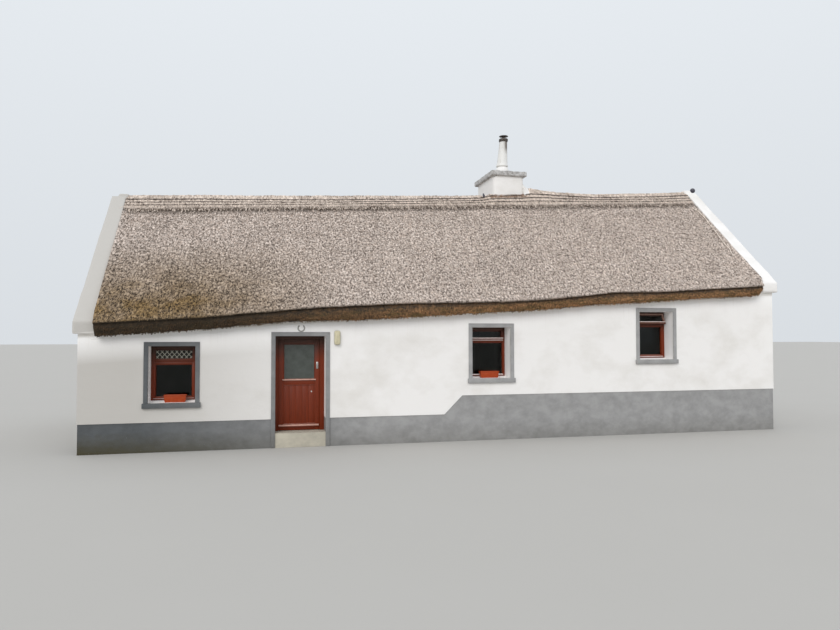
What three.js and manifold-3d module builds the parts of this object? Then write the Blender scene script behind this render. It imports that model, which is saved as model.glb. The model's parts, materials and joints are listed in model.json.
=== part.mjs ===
// Single-storey thatched cottage on a gently rising site, in millimetres, +Z up.
// X runs along the front (right when facing it), Y runs from the front to the back.
// The origin is the centre of the plan on the underside of the footings and floor.
import * as THREE from 'three';
import { mergeVertices } from 'three/addons/utils/BufferGeometryUtils.js';
import Module from 'manifold-3d';

const wasm = await Module();
wasm.setup();

// Driving dimensions. "along" is measured from the left end of the front wall, "deep" from its
// outer face, and heights from the lowest ground, which is at the left front corner.
const LENGTH = 15900;
const DEPTH = 6200;
const WALL = 600;
const SEAT_GAP = 0.3;

const FLOOR_TOP = 300;
const PLINTH_RECESS = 12;
const PLINTH_LOW = 594;
const PLINTH_HIGH = 1003;
const PLINTH_RAMP = [7420, 7830];

// The building climbs with the ground: a fall per millimetre of length for each level of it.
const WALL_HEAD = 2300;
const WALL_CLIMB = 0.0645;
const EAVE_LIP = 2615;
const EAVE_CLIMB = 0.060;
const RIDGE_BED = 5630;
const RIDGE_CLIMB = 0.052;
const UNDERSIDE = 2445;
const ROOF_PITCH = 0.88;
const UNDERSIDE_CLIMB = 0.058;

const EAVE_OVERHANG = 245;
const OUTER_PITCH = (RIDGE_BED - EAVE_LIP) / (DEPTH / 2 + EAVE_OVERHANG);
const EAVE_FOOT_OVERHANG = 215;
const EAVE_FOOT_DROP = 20;
const EAVE_ARRIS = { back: 40, drop: 15 };
const THATCH_BEARING = 280;
const ROOF_STATIONS = 15;
const CREST_HALF = 1;

const RIDGE_CAP_SPAN = 420;
const RIDGE_CAP_DEPTH = 90;
const RIDGE_CAP_EDGE = { height: 85, lean: 20 };
const RIDGE_SHOULDER = { out: 130, drop: 70 };
const RIDGE_CREST_HALF = 50;
const RIDGE_SAG = 45;
const SAG_LENGTH = 6500;
const RIDGE_SADDLE = 140;
const SADDLE_LENGTH = 1200;

const PARAPET = 300;
const COPING_OVERHANG = 100;
const COPING_DEPTH = 130;
const KNEELER_PROJECTION = 110;
const KNEELER_DROP = 243;
const KNEELER_SEAT = 150;
const COPING_APEX_FLAT = 90;
const LEFT_GABLE = { kneeler: 2364, apex: 5760 };
const RIGHT_GABLE = { kneeler: 3390, apex: 6590 };

// The stack stands just behind the crest, so that the ridge runs on in front of it.
const CHIMNEY = { along: [9630, 10500], deep: [2950, 4370], top: 6690 };
const CHIMNEY_CAP_OVERHANG = 70;
const CHIMNEY_CAP_TOP = 6830;

// The flue rises a little to the right of the stack's middle. Its profiles are of [radius, height].
const FLUE_AT = [10155, 3660];
const FLAUNCHING = [[0, 6810], [260, 6810], [260, 6860], [184, 7040], [176, 7100], [0, 7100]];
const POT = [
  [0, 7100], [170, 7100], [170, 7160], [160, 7180], [138, 7400], [110, 7750], [110, 7820],
  [128, 7830], [128, 7930], [0, 7930],
];
const COWL = [
  [0, 7930], [42, 7930], [42, 7975], [132, 7980], [136, 8000], [40, 8035], [0, 8040],
];
const FLUE_SIDES = 24;

const COUPLES_AT = [1700, 4500, 7300, 11600, 14000];
const COUPLE_WIDTH = 100;
const RAFTER_DEPTH = 200;
const HEEL_WIDTH = 150;
const HEEL_GAP = 2;
const COLLAR_FOOT = 4160;
const COLLAR_DEPTH = 140;

const OPENING_WIDTH = 894;
const OPENING_HEIGHT = 1137;
const SURROUND_BAND = 87;
const SURROUND_PROUD = 20;
const SILL_DEPTH = 100;
const SILL_PROUD = 60;
const SILL_EAR = 22;
const FRAME_RECESS = 355;
const FRAME_DEPTH = 45;
const GLASS = 6;
// Edges of the two lights of a window, in from the sides, up from the foot or down from the head.
const LIGHTS = { side: 90, foot: 120, lowerHead: 375, ventFoot: 265, ventHead: 75 };
const PANE = { side: 50, foot: 60, head: 40 };
const FRONT_WINDOWS = [
  { along: 1747, head: 2115 },
  { along: 8513, head: 2510 },
  { along: 12652, head: 2892 },
];
const REAR_WINDOWS = [
  { along: 4300, head: 2270 },
  { along: 12650, head: 2810 },
];
const TROUGH = { half: 220, foot: [110, 240], rim: [90, 260], height: 150, shifts: [50, 0] };

const DOORWAY = { along: [3783, 4824], head: 2316 };
const STOP_DEPTH = 20;
const STOP_WIDTH = 15;
const LEAF = { along: [3830, 4739], foot: 308, head: 2268, thick: 44 };
const LEAF_GAP = 5;
const LATCH_GAP = 7;
const LEAF_GLASS = { along: [3962, 4623], foot: 1390, head: 2144, set: 16 };
const LEAF_BOARDS = { along: [3962, 4607], foot: 437, head: 1271 };
const BOARD_RECESS = 10;
const OVERCUT = 5;
const WEATHER_BAR = { inset: 30, foot: 370, head: 430, proud: 38, lip: 14, top: 8 };
const PULL = { along: 4675, foot: 1629, head: 1744, proud: 42, width: 16, grip: 12 };
const KNUCKLE_RADIUS = 8;
const KNUCKLE_HEIGHT = 40;
const KNUCKLE_SIDES = 16;
const KNUCKLE_PLATE = { along: [4, 34], lap: 4 };
const HINGES_AT = [520, 1290, 2060];

// Hinge barrels share one upright axis, just behind the closed leaf.
const HINGE_ALONG = LEAF.along[0] - 2;
const LEAF_FACE = FRAME_RECESS + STOP_DEPTH + LEAF_GAP;
const LEAF_BACK = LEAF_FACE + LEAF.thick;
const HINGE_DEEP = LEAF_BACK + KNUCKLE_RADIUS + LEAF_GAP;

const LAMP = { along: [4992, 5131], foot: 2127, head: 2437, corner: 45, proud: 95, arc: 4 };
const HORSESHOE = {
  along: 4310, height: 2483, outer: 80, inner: 52, mouth: 0.62, proud: 12, arc: 8,
};
const FINIAL = { along: LENGTH - 15, radius: 75, seat: 74, rings: 8, sides: 14 };

const FINISHES = {
  limewash: { color: 0xe4e4e3, roughness: 0.9 },
  greyPaint: { color: 0x6d7883, roughness: 0.9 },
  thatch: { color: 0x9c8d7c, roughness: 1 },
  ridge: { color: 0xa69883, roughness: 1 },
  cement: { color: 0x8f8f90, roughness: 0.9 },
  concrete: { color: 0x9a9890, roughness: 0.9 },
  joinery: { color: 0x6a2b22, roughness: 0.5 },
  glass: { color: 0x4c5552, roughness: 0.08 },
  frosted: { color: 0x5f6b66, roughness: 0.4 },
  timber: { color: 0x7a6348, roughness: 0.9 },
  fluePaint: { color: 0xe4e4e3, roughness: 0.6 },
  galvanised: { color: 0x5b5651, roughness: 0.5, metalness: 0.6 },
  steel: { color: 0xb8b8b4, roughness: 0.35, metalness: 0.8 },
  wornIron: { color: 0xb8b8b4, roughness: 0.6, metalness: 0.5 },
  cream: { color: 0xd9cfae, roughness: 0.4 },
  terracotta: { color: 0xa75a35, roughness: 0.7 },
  darkStone: { color: 0x55505a, roughness: 0.5 },
  weatherBar: { color: 0xb9aea2, roughness: 0.5 },
};

const cottage = new THREE.Group();

// Adds a finished geometry to the cottage as one named mesh.
function place(name, geometry, finish) {
  const mesh = new THREE.Mesh(geometry, new THREE.MeshStandardMaterial(finish));
  mesh.name = name;
  cottage.add(mesh);
}

// Heights that depend on how far along or how deep in the building a point is.
const wallHead = (along) => WALL_HEAD + WALL_CLIMB * along;
const underThatch = (deep) => UNDERSIDE + ROOF_PITCH * deep;

function plinthTop(along) {
  const [start, end] = PLINTH_RAMP;
  const share = THREE.MathUtils.clamp((along - start) / (end - start), 0, 1);
  return PLINTH_LOW + share * (PLINTH_HIGH - PLINTH_LOW);
}

// The ridge dips towards the chimney from the left and is built up beyond it to shed water.
function ridgeShape(along) {
  const [left, right] = CHIMNEY.along;
  const { smoothstep, mapLinear } = THREE.MathUtils;
  if (along <= left) return -RIDGE_SAG * smoothstep(along, 0, SAG_LENGTH);
  if (along < right) return mapLinear(along, left, right, -RIDGE_SAG, RIDGE_SADDLE);
  return RIDGE_SADDLE * (1 - smoothstep(along, right, right + SADDLE_LENGTH));
}

// Moves a geometry drawn from the left front corner to the centre of the plan.
function centred(geometry) {
  return geometry.translate(-LENGTH / 2, -DEPTH / 2, 0);
}

function outlineOf(points) {
  return new THREE.Shape(points.map(([across, up]) => new THREE.Vector2(across, up)));
}

function rectangle([left, right], foot, head) {
  return [[left, foot], [right, foot], [right, head], [left, head]];
}

// A solid drawn in elevation (along, height) and run through from one depth to another.
function elevation(points, [near, far], holes = []) {
  const shape = outlineOf(points);
  shape.holes = holes.map(outlineOf);
  const geometry = new THREE.ExtrudeGeometry(shape, { depth: far - near, bevelEnabled: false });
  return centred(geometry.rotateX(Math.PI / 2).translate(0, far, 0));
}

// A solid drawn in section (depth, height) and run along the building. A section point may carry
// a climb, its rise per millimetre of length, and a shape, a further height for each station.
function section(points, [start, end], steps = 1, holes = []) {
  const shape = outlineOf(points);
  shape.holes = holes.map(outlineOf);
  const geometry = new THREE.ExtrudeGeometry(shape, { depth: end - start, steps, bevelEnabled: false });
  const known = [points, ...holes].flat();
  const position = geometry.attributes.position;
  for (let i = 0; i < position.count; i += 1) {
    const deep = position.getX(i);
    const up = position.getY(i);
    const along = start + position.getZ(i);
    const point = known.find(([y, z]) => Math.abs(y - deep) < 0.01 && Math.abs(z - up) < 0.01);
    const [, , climb = 0, extra] = point;
    position.setXYZ(i, along, deep, up + climb * along + (extra ? extra(along) : 0));
  }
  return centred(geometry);
}

function box([left, right], [near, far], [foot, head]) {
  const geometry = new THREE.BoxGeometry(right - left, far - near, head - foot);
  geometry.translate((left + right) / 2, (near + far) / 2, (foot + head) / 2);
  return centred(geometry);
}

// A turned solid on a vertical axis, from its profile of [radius, height] points.
function turned(profile, along, deep, sides) {
  const points = profile.map(([radius, height]) => new THREE.Vector2(radius, height));
  const geometry = new THREE.LatheGeometry(points, sides).rotateX(Math.PI / 2);
  return centred(geometry.translate(along, deep, 0));
}

function toSolid(geometry) {
  const bare = geometry.clone();
  bare.deleteAttribute('normal');
  bare.deleteAttribute('uv');
  const merged = mergeVertices(bare, 0.001);
  return new wasm.Manifold(new wasm.Mesh({
    numProp: 3,
    vertProperties: new Float32Array(merged.attributes.position.array),
    triVerts: new Uint32Array(merged.index.array),
  }));
}

function toGeometry(solid) {
  const { vertProperties, triVerts } = solid.getMesh();
  const geometry = new THREE.BufferGeometry();
  geometry.setAttribute('position', new THREE.BufferAttribute(new Float32Array(vertProperties), 3));
  geometry.setIndex(new THREE.BufferAttribute(new Uint32Array(triVerts), 1));
  return geometry;
}

function joined(...geometries) {
  return toGeometry(geometries.map(toSolid).reduce((whole, piece) => whole.add(piece)));
}

function cut(geometry, ...tools) {
  return toGeometry(tools.map(toSolid).reduce((whole, tool) => whole.subtract(tool), toSolid(geometry)));
}

// The back of the building mirrors the front, so a depth is read from the rear wall's face.
function fromBack([near, far]) {
  return [DEPTH - far, DEPTH - near];
}

function addFloor() {
  place('floor_slab', box([WALL, LENGTH - WALL], [WALL, DEPTH - WALL], [0, FLOOR_TOP]), FINISHES.concrete);
  place('door_threshold', box(DOORWAY.along, [0, WALL], [0, FLOOR_TOP]), FINISHES.concrete);
}

function plinthOutline([left, right]) {
  const [start, end] = PLINTH_RAMP;
  const ramp = left < start && right > end ? [[end, PLINTH_HIGH], [start, PLINTH_LOW]] : [];
  return [[left, 0], [right, 0], [right, plinthTop(right)], ...ramp, [left, plinthTop(left)]];
}

function addPlinths() {
  const depth = [PLINTH_RECESS, WALL];
  const [doorLeft, doorRight] = DOORWAY.along;
  const inner = [WALL, LENGTH - WALL];
  const ends = [PLINTH_RECESS, DEPTH - PLINTH_RECESS];
  const finish = FINISHES.greyPaint;
  place('plinth_front_left', elevation(plinthOutline([WALL, doorLeft]), depth), finish);
  place('plinth_front_right', elevation(plinthOutline([doorRight, inner[1]]), depth), finish);
  place('plinth_rear', elevation(plinthOutline(inner), fromBack(depth)), finish);
  place('plinth_left_gable', box([PLINTH_RECESS, WALL], ends, [0, PLINTH_LOW]), finish);
  place('plinth_right_gable', box([inner[1], LENGTH - PLINTH_RECESS], ends, [0, PLINTH_HIGH]), finish);
}

function windowOpening({ along, head }) {
  const sides = [along - OPENING_WIDTH / 2, along + OPENING_WIDTH / 2];
  return rectangle(sides, head - OPENING_HEIGHT, head);
}

// A length of long wall, from the top of the plinth to the sloping wall head.
function wallOutline([left, right]) {
  const [start, end] = PLINTH_RAMP;
  const ramp = left < start && right > end ? [[start, PLINTH_LOW], [end, PLINTH_HIGH]] : [];
  return [
    [left, plinthTop(left)], ...ramp, [right, plinthTop(right)],
    [right, wallHead(right)], [left, wallHead(left)],
  ];
}

function addLongWalls() {
  const depth = [0, WALL];
  const [doorLeft, doorRight] = DOORWAY.along;
  const [first, ...others] = FRONT_WINDOWS;
  const leftPart = elevation(wallOutline([WALL, doorLeft]), depth, [windowOpening(first)]);
  const rightPart = elevation(wallOutline([doorRight, LENGTH - WALL]), depth, others.map(windowOpening));
  const overDoor = [
    [doorLeft, DOORWAY.head], [doorRight, DOORWAY.head],
    [doorRight, wallHead(doorRight)], [doorLeft, wallHead(doorLeft)],
  ];
  const rear = wallOutline([WALL, LENGTH - WALL]);
  place('front_wall_left', leftPart, FINISHES.limewash);
  place('front_wall_over_door', elevation(overDoor, depth), FINISHES.limewash);
  place('front_wall_right', rightPart, FINISHES.limewash);
  place('rear_wall', elevation(rear, fromBack(depth), REAR_WINDOWS.map(windowOpening)), FINISHES.limewash);
}

// Completes a section that is the same at the front and the back of the building.
function mirrored(half) {
  const back = half.map(([deep, ...rest]) => [DEPTH - deep, ...rest]).reverse();
  return [...half, ...back];
}

// The gable's sloping top line, under (drop > 0) or on the coping, at a depth from the front.
function copingLine({ kneeler, apex }, deep, drop) {
  const foot = kneeler + KNEELER_DROP;
  const run = DEPTH / 2 - COPING_APEX_FLAT + KNEELER_PROJECTION;
  return foot + ((apex - foot) * (deep + KNEELER_PROJECTION)) / run - drop;
}

function gableOutline(gable, foot) {
  const flat = DEPTH / 2 - COPING_APEX_FLAT;
  const drop = COPING_DEPTH + SEAT_GAP;
  return mirrored([
    [0, foot],
    [0, gable.kneeler],
    [KNEELER_SEAT, gable.kneeler],
    [KNEELER_SEAT, copingLine(gable, KNEELER_SEAT, drop)],
    [flat, gable.apex - drop],
  ]).reverse();
}

// The part of a gable that stands under the thatch, inside the parapet.
function gableBackingOutline(foot) {
  const lift = (deep) => underThatch(deep) - SEAT_GAP;
  return mirrored([
    [0, foot, 0],
    [0, WALL_HEAD, WALL_CLIMB],
    [THATCH_BEARING + SEAT_GAP, WALL_HEAD, WALL_CLIMB],
    [THATCH_BEARING + SEAT_GAP, lift(THATCH_BEARING), UNDERSIDE_CLIMB],
    [DEPTH / 2 - CREST_HALF, lift(DEPTH / 2 - CREST_HALF), UNDERSIDE_CLIMB],
  ]).reverse();
}

function copingOutline(gable) {
  const flat = DEPTH / 2 - COPING_APEX_FLAT;
  return mirrored([
    [flat, gable.apex - COPING_DEPTH],
    [KNEELER_SEAT, copingLine(gable, KNEELER_SEAT, COPING_DEPTH)],
    [KNEELER_SEAT, gable.kneeler],
    [-KNEELER_PROJECTION, gable.kneeler],
    [-KNEELER_PROJECTION, gable.kneeler + KNEELER_DROP],
    [flat, gable.apex],
  ].reverse()).reverse();
}

function addGable(side, gable, foot, parapet, backing, coping) {
  const wall = joined(
    section(gableOutline(gable, foot), parapet),
    section(gableBackingOutline(foot), backing),
  );
  place(`${side}_gable_wall`, wall, FINISHES.limewash);
  place(`${side}_gable_coping`, section(copingOutline(gable), coping), FINISHES.limewash);
}

function addGables() {
  const right = LENGTH - PARAPET;
  addGable('left', LEFT_GABLE, PLINTH_LOW, [0, PARAPET], [PARAPET, WALL], [-COPING_OVERHANG, PARAPET]);
  addGable('right', RIGHT_GABLE, PLINTH_HIGH, [right, LENGTH], [LENGTH - WALL, right],
    [right, LENGTH + COPING_OVERHANG]);
}

// The space that the chimney stack takes up in the roof.
function stackHole() {
  const [left, right] = CHIMNEY.along;
  const [near, far] = CHIMNEY.deep;
  const clear = SEAT_GAP;
  return box([left - clear, right + clear], [near - clear, far + clear], [FLOOR_TOP, CHIMNEY_CAP_TOP]);
}

// Half of the roof in section: cut eave, bearing on the wall head, underside and outer slope.
function thatchOutline() {
  const bed = DEPTH / 2 - RIDGE_CAP_SPAN;
  const { back, drop } = EAVE_ARRIS;
  return [
    [-EAVE_FOOT_OVERHANG, WALL_HEAD - EAVE_FOOT_DROP, WALL_CLIMB],
    [-PLINTH_RECESS, WALL_HEAD + SEAT_GAP, WALL_CLIMB],
    [THATCH_BEARING, WALL_HEAD + SEAT_GAP, WALL_CLIMB],
    [THATCH_BEARING, underThatch(THATCH_BEARING), UNDERSIDE_CLIMB],
    [DEPTH / 2, underThatch(DEPTH / 2), UNDERSIDE_CLIMB],
    [DEPTH / 2, RIDGE_BED, RIDGE_CLIMB],
    [bed, RIDGE_BED - OUTER_PITCH * RIDGE_CAP_SPAN, RIDGE_CLIMB],
    [back - EAVE_OVERHANG, EAVE_LIP + OUTER_PITCH * back, EAVE_CLIMB],
    [-EAVE_OVERHANG, EAVE_LIP - drop, EAVE_CLIMB],
  ];
}

function addThatch() {
  const run = [PARAPET + SEAT_GAP, LENGTH - PARAPET - SEAT_GAP];
  const half = thatchOutline();
  const rear = half.map(([deep, ...rest]) => [DEPTH - deep, ...rest]).reverse();
  place('thatch_front', cut(section(half, run, ROOF_STATIONS), stackHole()), FINISHES.thatch);
  place('thatch_rear', cut(section(rear, run, ROOF_STATIONS), stackHole()), FINISHES.thatch);
}

// The block ridge of straw that saddles the two slopes.
function ridgeOutline() {
  const foot = DEPTH / 2 - RIDGE_CAP_SPAN;
  const bed = RIDGE_BED - OUTER_PITCH * RIDGE_CAP_SPAN + SEAT_GAP;
  const top = RIDGE_BED + RIDGE_CAP_DEPTH;
  return mirrored([
    [DEPTH / 2 - CREST_HALF, RIDGE_BED + SEAT_GAP, RIDGE_CLIMB],
    [foot, bed, RIDGE_CLIMB],
    [foot - RIDGE_CAP_EDGE.lean, bed + RIDGE_CAP_EDGE.height, RIDGE_CLIMB],
    [DEPTH / 2 - RIDGE_SHOULDER.out, top - RIDGE_SHOULDER.drop, RIDGE_CLIMB, ridgeShape],
    [DEPTH / 2 - RIDGE_CREST_HALF, top, RIDGE_CLIMB, ridgeShape],
  ]);
}

function addRidge() {
  const run = [PARAPET + SEAT_GAP, LENGTH - PARAPET - SEAT_GAP];
  place('block_ridge', cut(section(ridgeOutline(), run, 2 * ROOF_STATIONS), stackHole()), FINISHES.ridge);
}

// One pair of rafters with its collar. The heels stand on the wall heads.
function coupleOutline() {
  const top = (deep) => underThatch(deep) - SEAT_GAP;
  const soffit = (deep) => top(deep) - RAFTER_DEPTH;
  const at = (height) => (height - UNDERSIDE + SEAT_GAP + RAFTER_DEPTH) / ROOF_PITCH;
  const heel = THATCH_BEARING + HEEL_GAP;
  const inner = heel + HEEL_WIDTH;
  const outer = [
    [inner, WALL_HEAD + SEAT_GAP, WALL_CLIMB],
    [heel, WALL_HEAD + SEAT_GAP, WALL_CLIMB],
    [heel, top(heel), UNDERSIDE_CLIMB],
    [DEPTH / 2 - CREST_HALF, top(DEPTH / 2 - CREST_HALF), UNDERSIDE_CLIMB],
  ];
  const under = [
    [at(COLLAR_FOOT), COLLAR_FOOT, UNDERSIDE_CLIMB],
    [inner, soffit(inner), UNDERSIDE_CLIMB],
  ];
  const collarTop = COLLAR_FOOT + COLLAR_DEPTH;
  const mirror = ([deep, ...rest]) => [DEPTH - deep, ...rest];
  return {
    outline: [...outer, ...outer.map(mirror).reverse(), ...under.map(mirror).reverse(), ...under],
    hole: [
      [at(collarTop), collarTop, UNDERSIDE_CLIMB],
      [DEPTH - at(collarTop), collarTop, UNDERSIDE_CLIMB],
      [DEPTH / 2, soffit(DEPTH / 2), UNDERSIDE_CLIMB],
    ],
  };
}

function addCouples() {
  const { outline, hole } = coupleOutline();
  COUPLES_AT.forEach((along, index) => {
    const run = [along - COUPLE_WIDTH / 2, along + COUPLE_WIDTH / 2];
    place(`roof_couple_${index + 1}`, section(outline, run, 1, [hole]), FINISHES.timber);
  });
}

function addChimney() {
  const { along: [left, right], deep: [near, far], top } = CHIMNEY;
  const stack = box([left, right], [near, far], [FLOOR_TOP, top]);
  const out = CHIMNEY_CAP_OVERHANG;
  const slab = box([left - out, right + out], [near - out, far + out], [top, CHIMNEY_CAP_TOP]);
  const onFlue = (profile) => turned(profile, ...FLUE_AT, FLUE_SIDES);
  place('chimney_stack', stack, FINISHES.limewash);
  place('chimney_cap', joined(slab, onFlue(FLAUNCHING)), FINISHES.cement);
  place('flue_pot', onFlue(POT), FINISHES.fluePaint);
  place('flue_cowl', onFlue(COWL), FINISHES.galvanised);
}

// Plaster band round a window, with its projecting sill, on the outer wall face.
function windowSurround({ along, head }, depthFrom) {
  const half = OPENING_WIDTH / 2;
  const foot = head - OPENING_HEIGHT;
  const outer = rectangle([along - half - SURROUND_BAND, along + half + SURROUND_BAND],
    foot, head + SURROUND_BAND);
  const inner = rectangle([along - half, along + half], foot, head);
  const band = [
    outer[0], inner[0], inner[3], inner[2], inner[1], outer[1], outer[2], outer[3],
  ];
  const reach = half + SURROUND_BAND + SILL_EAR;
  return joined(
    elevation(band, depthFrom([-SURROUND_PROUD, 0])),
    box([along - reach, along + reach], depthFrom([-SILL_PROUD, 0]), [foot - SILL_DEPTH, foot]),
  );
}

// Timber frame with a shallow vent light over a tall light.
function windowFrame({ along, head }, depthFrom) {
  const half = OPENING_WIDTH / 2;
  const lights = [along - half + LIGHTS.side, along + half - LIGHTS.side];
  const foot = head - OPENING_HEIGHT;
  return elevation(
    rectangle([along - half, along + half], foot, head),
    depthFrom([FRAME_RECESS, FRAME_RECESS + FRAME_DEPTH]),
    [
      rectangle(lights, head - LIGHTS.ventFoot, head - LIGHTS.ventHead),
      rectangle(lights, foot + LIGHTS.foot, head - LIGHTS.lowerHead),
    ],
  );
}

function windowGlass({ along, head }, depthFrom) {
  const half = OPENING_WIDTH / 2 - PANE.side;
  const back = FRAME_RECESS + FRAME_DEPTH;
  const height = [head - OPENING_HEIGHT + PANE.foot, head - PANE.head];
  return box([along - half, along + half], depthFrom([back, back + GLASS]), height);
}

function addWindow(name, window, depthFrom) {
  place(`${name}_surround`, windowSurround(window, depthFrom), FINISHES.greyPaint);
  place(`${name}_frame`, windowFrame(window, depthFrom), FINISHES.joinery);
  place(`${name}_glass`, windowGlass(window, depthFrom), FINISHES.glass);
}

function addWindows() {
  FRONT_WINDOWS.forEach((window, index) => addWindow(`front_window_${index + 1}`, window, (span) => span));
  REAR_WINDOWS.forEach((window, index) => addWindow(`rear_window_${index + 1}`, window, fromBack));
}

// Planting trough on the sill of each of the two windows beside the door, filled to its rim.
function addWindowBoxes() {
  FRONT_WINDOWS.slice(0, 2).forEach(({ along, head }, index) => {
    const foot = head - OPENING_HEIGHT;
    const { rim, height, half } = TROUGH;
    const middle = along + TROUGH.shifts[index];
    const trough = [
      [TROUGH.foot[0], foot], [TROUGH.foot[1], foot], [rim[1], foot + height], [rim[0], foot + height],
    ];
    place(`window_box_${index + 1}`, section(trough, [middle - half, middle + half]), FINISHES.terracotta);
  });
}

// An upside-down U: a doorway's surround or frame, from its own feet to its head.
function portal([left, right], head, [innerLeft, innerRight], innerHead, foot) {
  return [
    [left, foot], [innerLeft, foot], [innerLeft, innerHead], [innerRight, innerHead],
    [innerRight, foot], [right, foot], [right, head], [left, head],
  ];
}

function addDoorSurround() {
  const [left, right] = DOORWAY.along;
  const outer = [left - SURROUND_BAND, right + SURROUND_BAND];
  const face = portal(outer, DOORWAY.head + SURROUND_BAND, DOORWAY.along, DOORWAY.head, 0);
  const foot = [0, PLINTH_LOW];
  place('door_surround', joined(
    elevation(face, [-SURROUND_PROUD, 0]),
    box([outer[0], left], [0, PLINTH_RECESS], foot),
    box([right, outer[1]], [0, PLINTH_RECESS], foot),
  ), FINISHES.greyPaint);
}

// One half of each hinge: the frame's half is below and the door's half stands on it.
function hingeHalves(side, [foot, head]) {
  const [near, far] = KNUCKLE_PLATE.along;
  const plateBack = HINGE_DEEP + KNUCKLE_PLATE.lap;
  const plate = side < 0 ? [HINGE_ALONG - far, HINGE_ALONG - near] : [HINGE_ALONG + near, HINGE_ALONG + far];
  return HINGES_AT.flatMap((height) => [
    box(plate, [LEAF_BACK, plateBack], [height + foot, height + head]),
    turned([[0, height + foot], [KNUCKLE_RADIUS, height + foot], [KNUCKLE_RADIUS, height + head],
      [0, height + head]], HINGE_ALONG, HINGE_DEEP, KNUCKLE_SIDES),
  ]);
}

function addDoorFrame() {
  const [left, right] = LEAF.along;
  const rebate = [left - LEAF_GAP, right + LATCH_GAP];
  const stop = [left - LEAF_GAP + STOP_WIDTH, right + LATCH_GAP - STOP_WIDTH];
  const head = LEAF.head + LATCH_GAP;
  const stopBack = FRAME_RECESS + STOP_DEPTH;
  const around = (inner, innerHead) => portal(DOORWAY.along, DOORWAY.head, inner, innerHead, FLOOR_TOP);
  place('door_frame', joined(
    elevation(around(stop, head - STOP_WIDTH), [FRAME_RECESS, stopBack]),
    elevation(around(rebate, head), [stopBack, LEAF_BACK]),
    ...hingeHalves(-1, [-KNUCKLE_HEIGHT, -SEAT_GAP]),
  ), FINISHES.joinery);
}

// Ledged door leaf: a glazed upper light over a panel of upright boards.
function addDoorLeaf() {
  const outline = rectangle(LEAF.along, LEAF.foot, LEAF.head);
  const light = rectangle(LEAF_GLASS.along, LEAF_GLASS.foot, LEAF_GLASS.head);
  const slab = elevation(outline, [LEAF_FACE, LEAF_BACK], [light]);
  const height = [LEAF_BOARDS.foot, LEAF_BOARDS.head];
  const pocketFront = box(LEAF_BOARDS.along, [LEAF_FACE - OVERCUT, LEAF_FACE + BOARD_RECESS], height);
  const pocketBack = box(LEAF_BOARDS.along, [LEAF_BACK - BOARD_RECESS, LEAF_BACK + OVERCUT], height);
  const leaf = joined(cut(slab, pocketFront, pocketBack), ...hingeHalves(1, [0, KNUCKLE_HEIGHT]));
  const glassFace = LEAF_FACE + LEAF_GLASS.set;
  const pane = box(LEAF_GLASS.along, [glassFace, glassFace + GLASS], [LEAF_GLASS.foot, LEAF_GLASS.head]);
  place('door_leaf', leaf, FINISHES.joinery);
  place('door_glass', pane, FINISHES.frosted);
}

function addDoorFittings() {
  const { inset, foot, head, proud, lip, top } = WEATHER_BAR;
  const bar = [
    [LEAF_FACE, foot], [LEAF_FACE, head], [LEAF_FACE - top, head], [LEAF_FACE - proud, foot + lip],
    [LEAF_FACE - proud, foot],
  ];
  const run = [LEAF.along[0] + inset, LEAF.along[1] - inset];
  place('door_weather_bar', section(bar, run), FINISHES.weatherBar);

  const { grip } = PULL;
  const reach = LEAF_FACE - PULL.proud;
  const bow = [
    [LEAF_FACE, PULL.foot], [LEAF_FACE, PULL.foot + grip], [reach + grip, PULL.foot + grip],
    [reach + grip, PULL.head - grip], [LEAF_FACE, PULL.head - grip], [LEAF_FACE, PULL.head],
    [reach, PULL.head], [reach, PULL.foot],
  ];
  const half = PULL.width / 2;
  place('door_handle', section(bow, [PULL.along - half, PULL.along + half]), FINISHES.steel);
}

// Flat points round a closed shape, with a few points to each arc of it.
function flattened(shape, arc) {
  return shape.getPoints(arc).map(({ x, y }) => [x, y]);
}

// Round-cornered bulkhead lamp beside the door.
function addWallLight() {
  const { along: [left, right], foot, head, corner } = LAMP;
  const lamp = new THREE.Shape();
  lamp.moveTo(left, foot + corner);
  lamp.lineTo(left, head - corner);
  lamp.absarc(left + corner, head - corner, corner, Math.PI, Math.PI / 2, true);
  lamp.absarc(right - corner, head - corner, corner, Math.PI / 2, 0, true);
  lamp.absarc(right - corner, foot + corner, corner, 0, -Math.PI / 2, true);
  lamp.absarc(left + corner, foot + corner, corner, -Math.PI / 2, -Math.PI, true);
  const body = elevation(flattened(lamp, LAMP.arc), [-LAMP.proud, 0]);
  place('wall_light', joined(body), FINISHES.cream);
}

// Horseshoe over the door, mouth up.
function addHorseshoe() {
  const { along, height, outer, inner, mouth, arc, proud } = HORSESHOE;
  const up = Math.PI / 2;
  const shoe = new THREE.Shape();
  shoe.absarc(along, height, outer, up + mouth, up - mouth, false);
  shoe.absarc(along, height, inner, up - mouth, up + mouth, true);
  place('horseshoe', joined(elevation(flattened(shoe, arc), [-proud, 0])), FINISHES.wornIron);
}

// Round finial bedded to half its height on the flat apex of the right coping.
function addFinial() {
  const { along, radius, seat, rings, sides } = FINIAL;
  const low = Math.asin(seat / radius);
  const centre = RIGHT_GABLE.apex + radius * Math.cos(low);
  const profile = [[0, RIGHT_GABLE.apex]];
  for (let step = 0; step <= rings; step += 1) {
    const turn = low + ((Math.PI - low) * step) / rings;
    const flat = step === rings ? 0 : radius * Math.sin(turn);
    profile.push([flat, centre - radius * Math.cos(turn)]);
  }
  place('gable_finial', turned(profile, along, DEPTH / 2, sides), FINISHES.darkStone);
}

addFloor();
addPlinths();
addLongWalls();
addGables();
addThatch();
addRidge();
addCouples();
addChimney();
addWindows();
addWindowBoxes();
addDoorSurround();
addDoorFrame();
addDoorLeaf();
addDoorFittings();
addWallLight();
addHorseshoe();
addFinial();

export default cottage;
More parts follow.
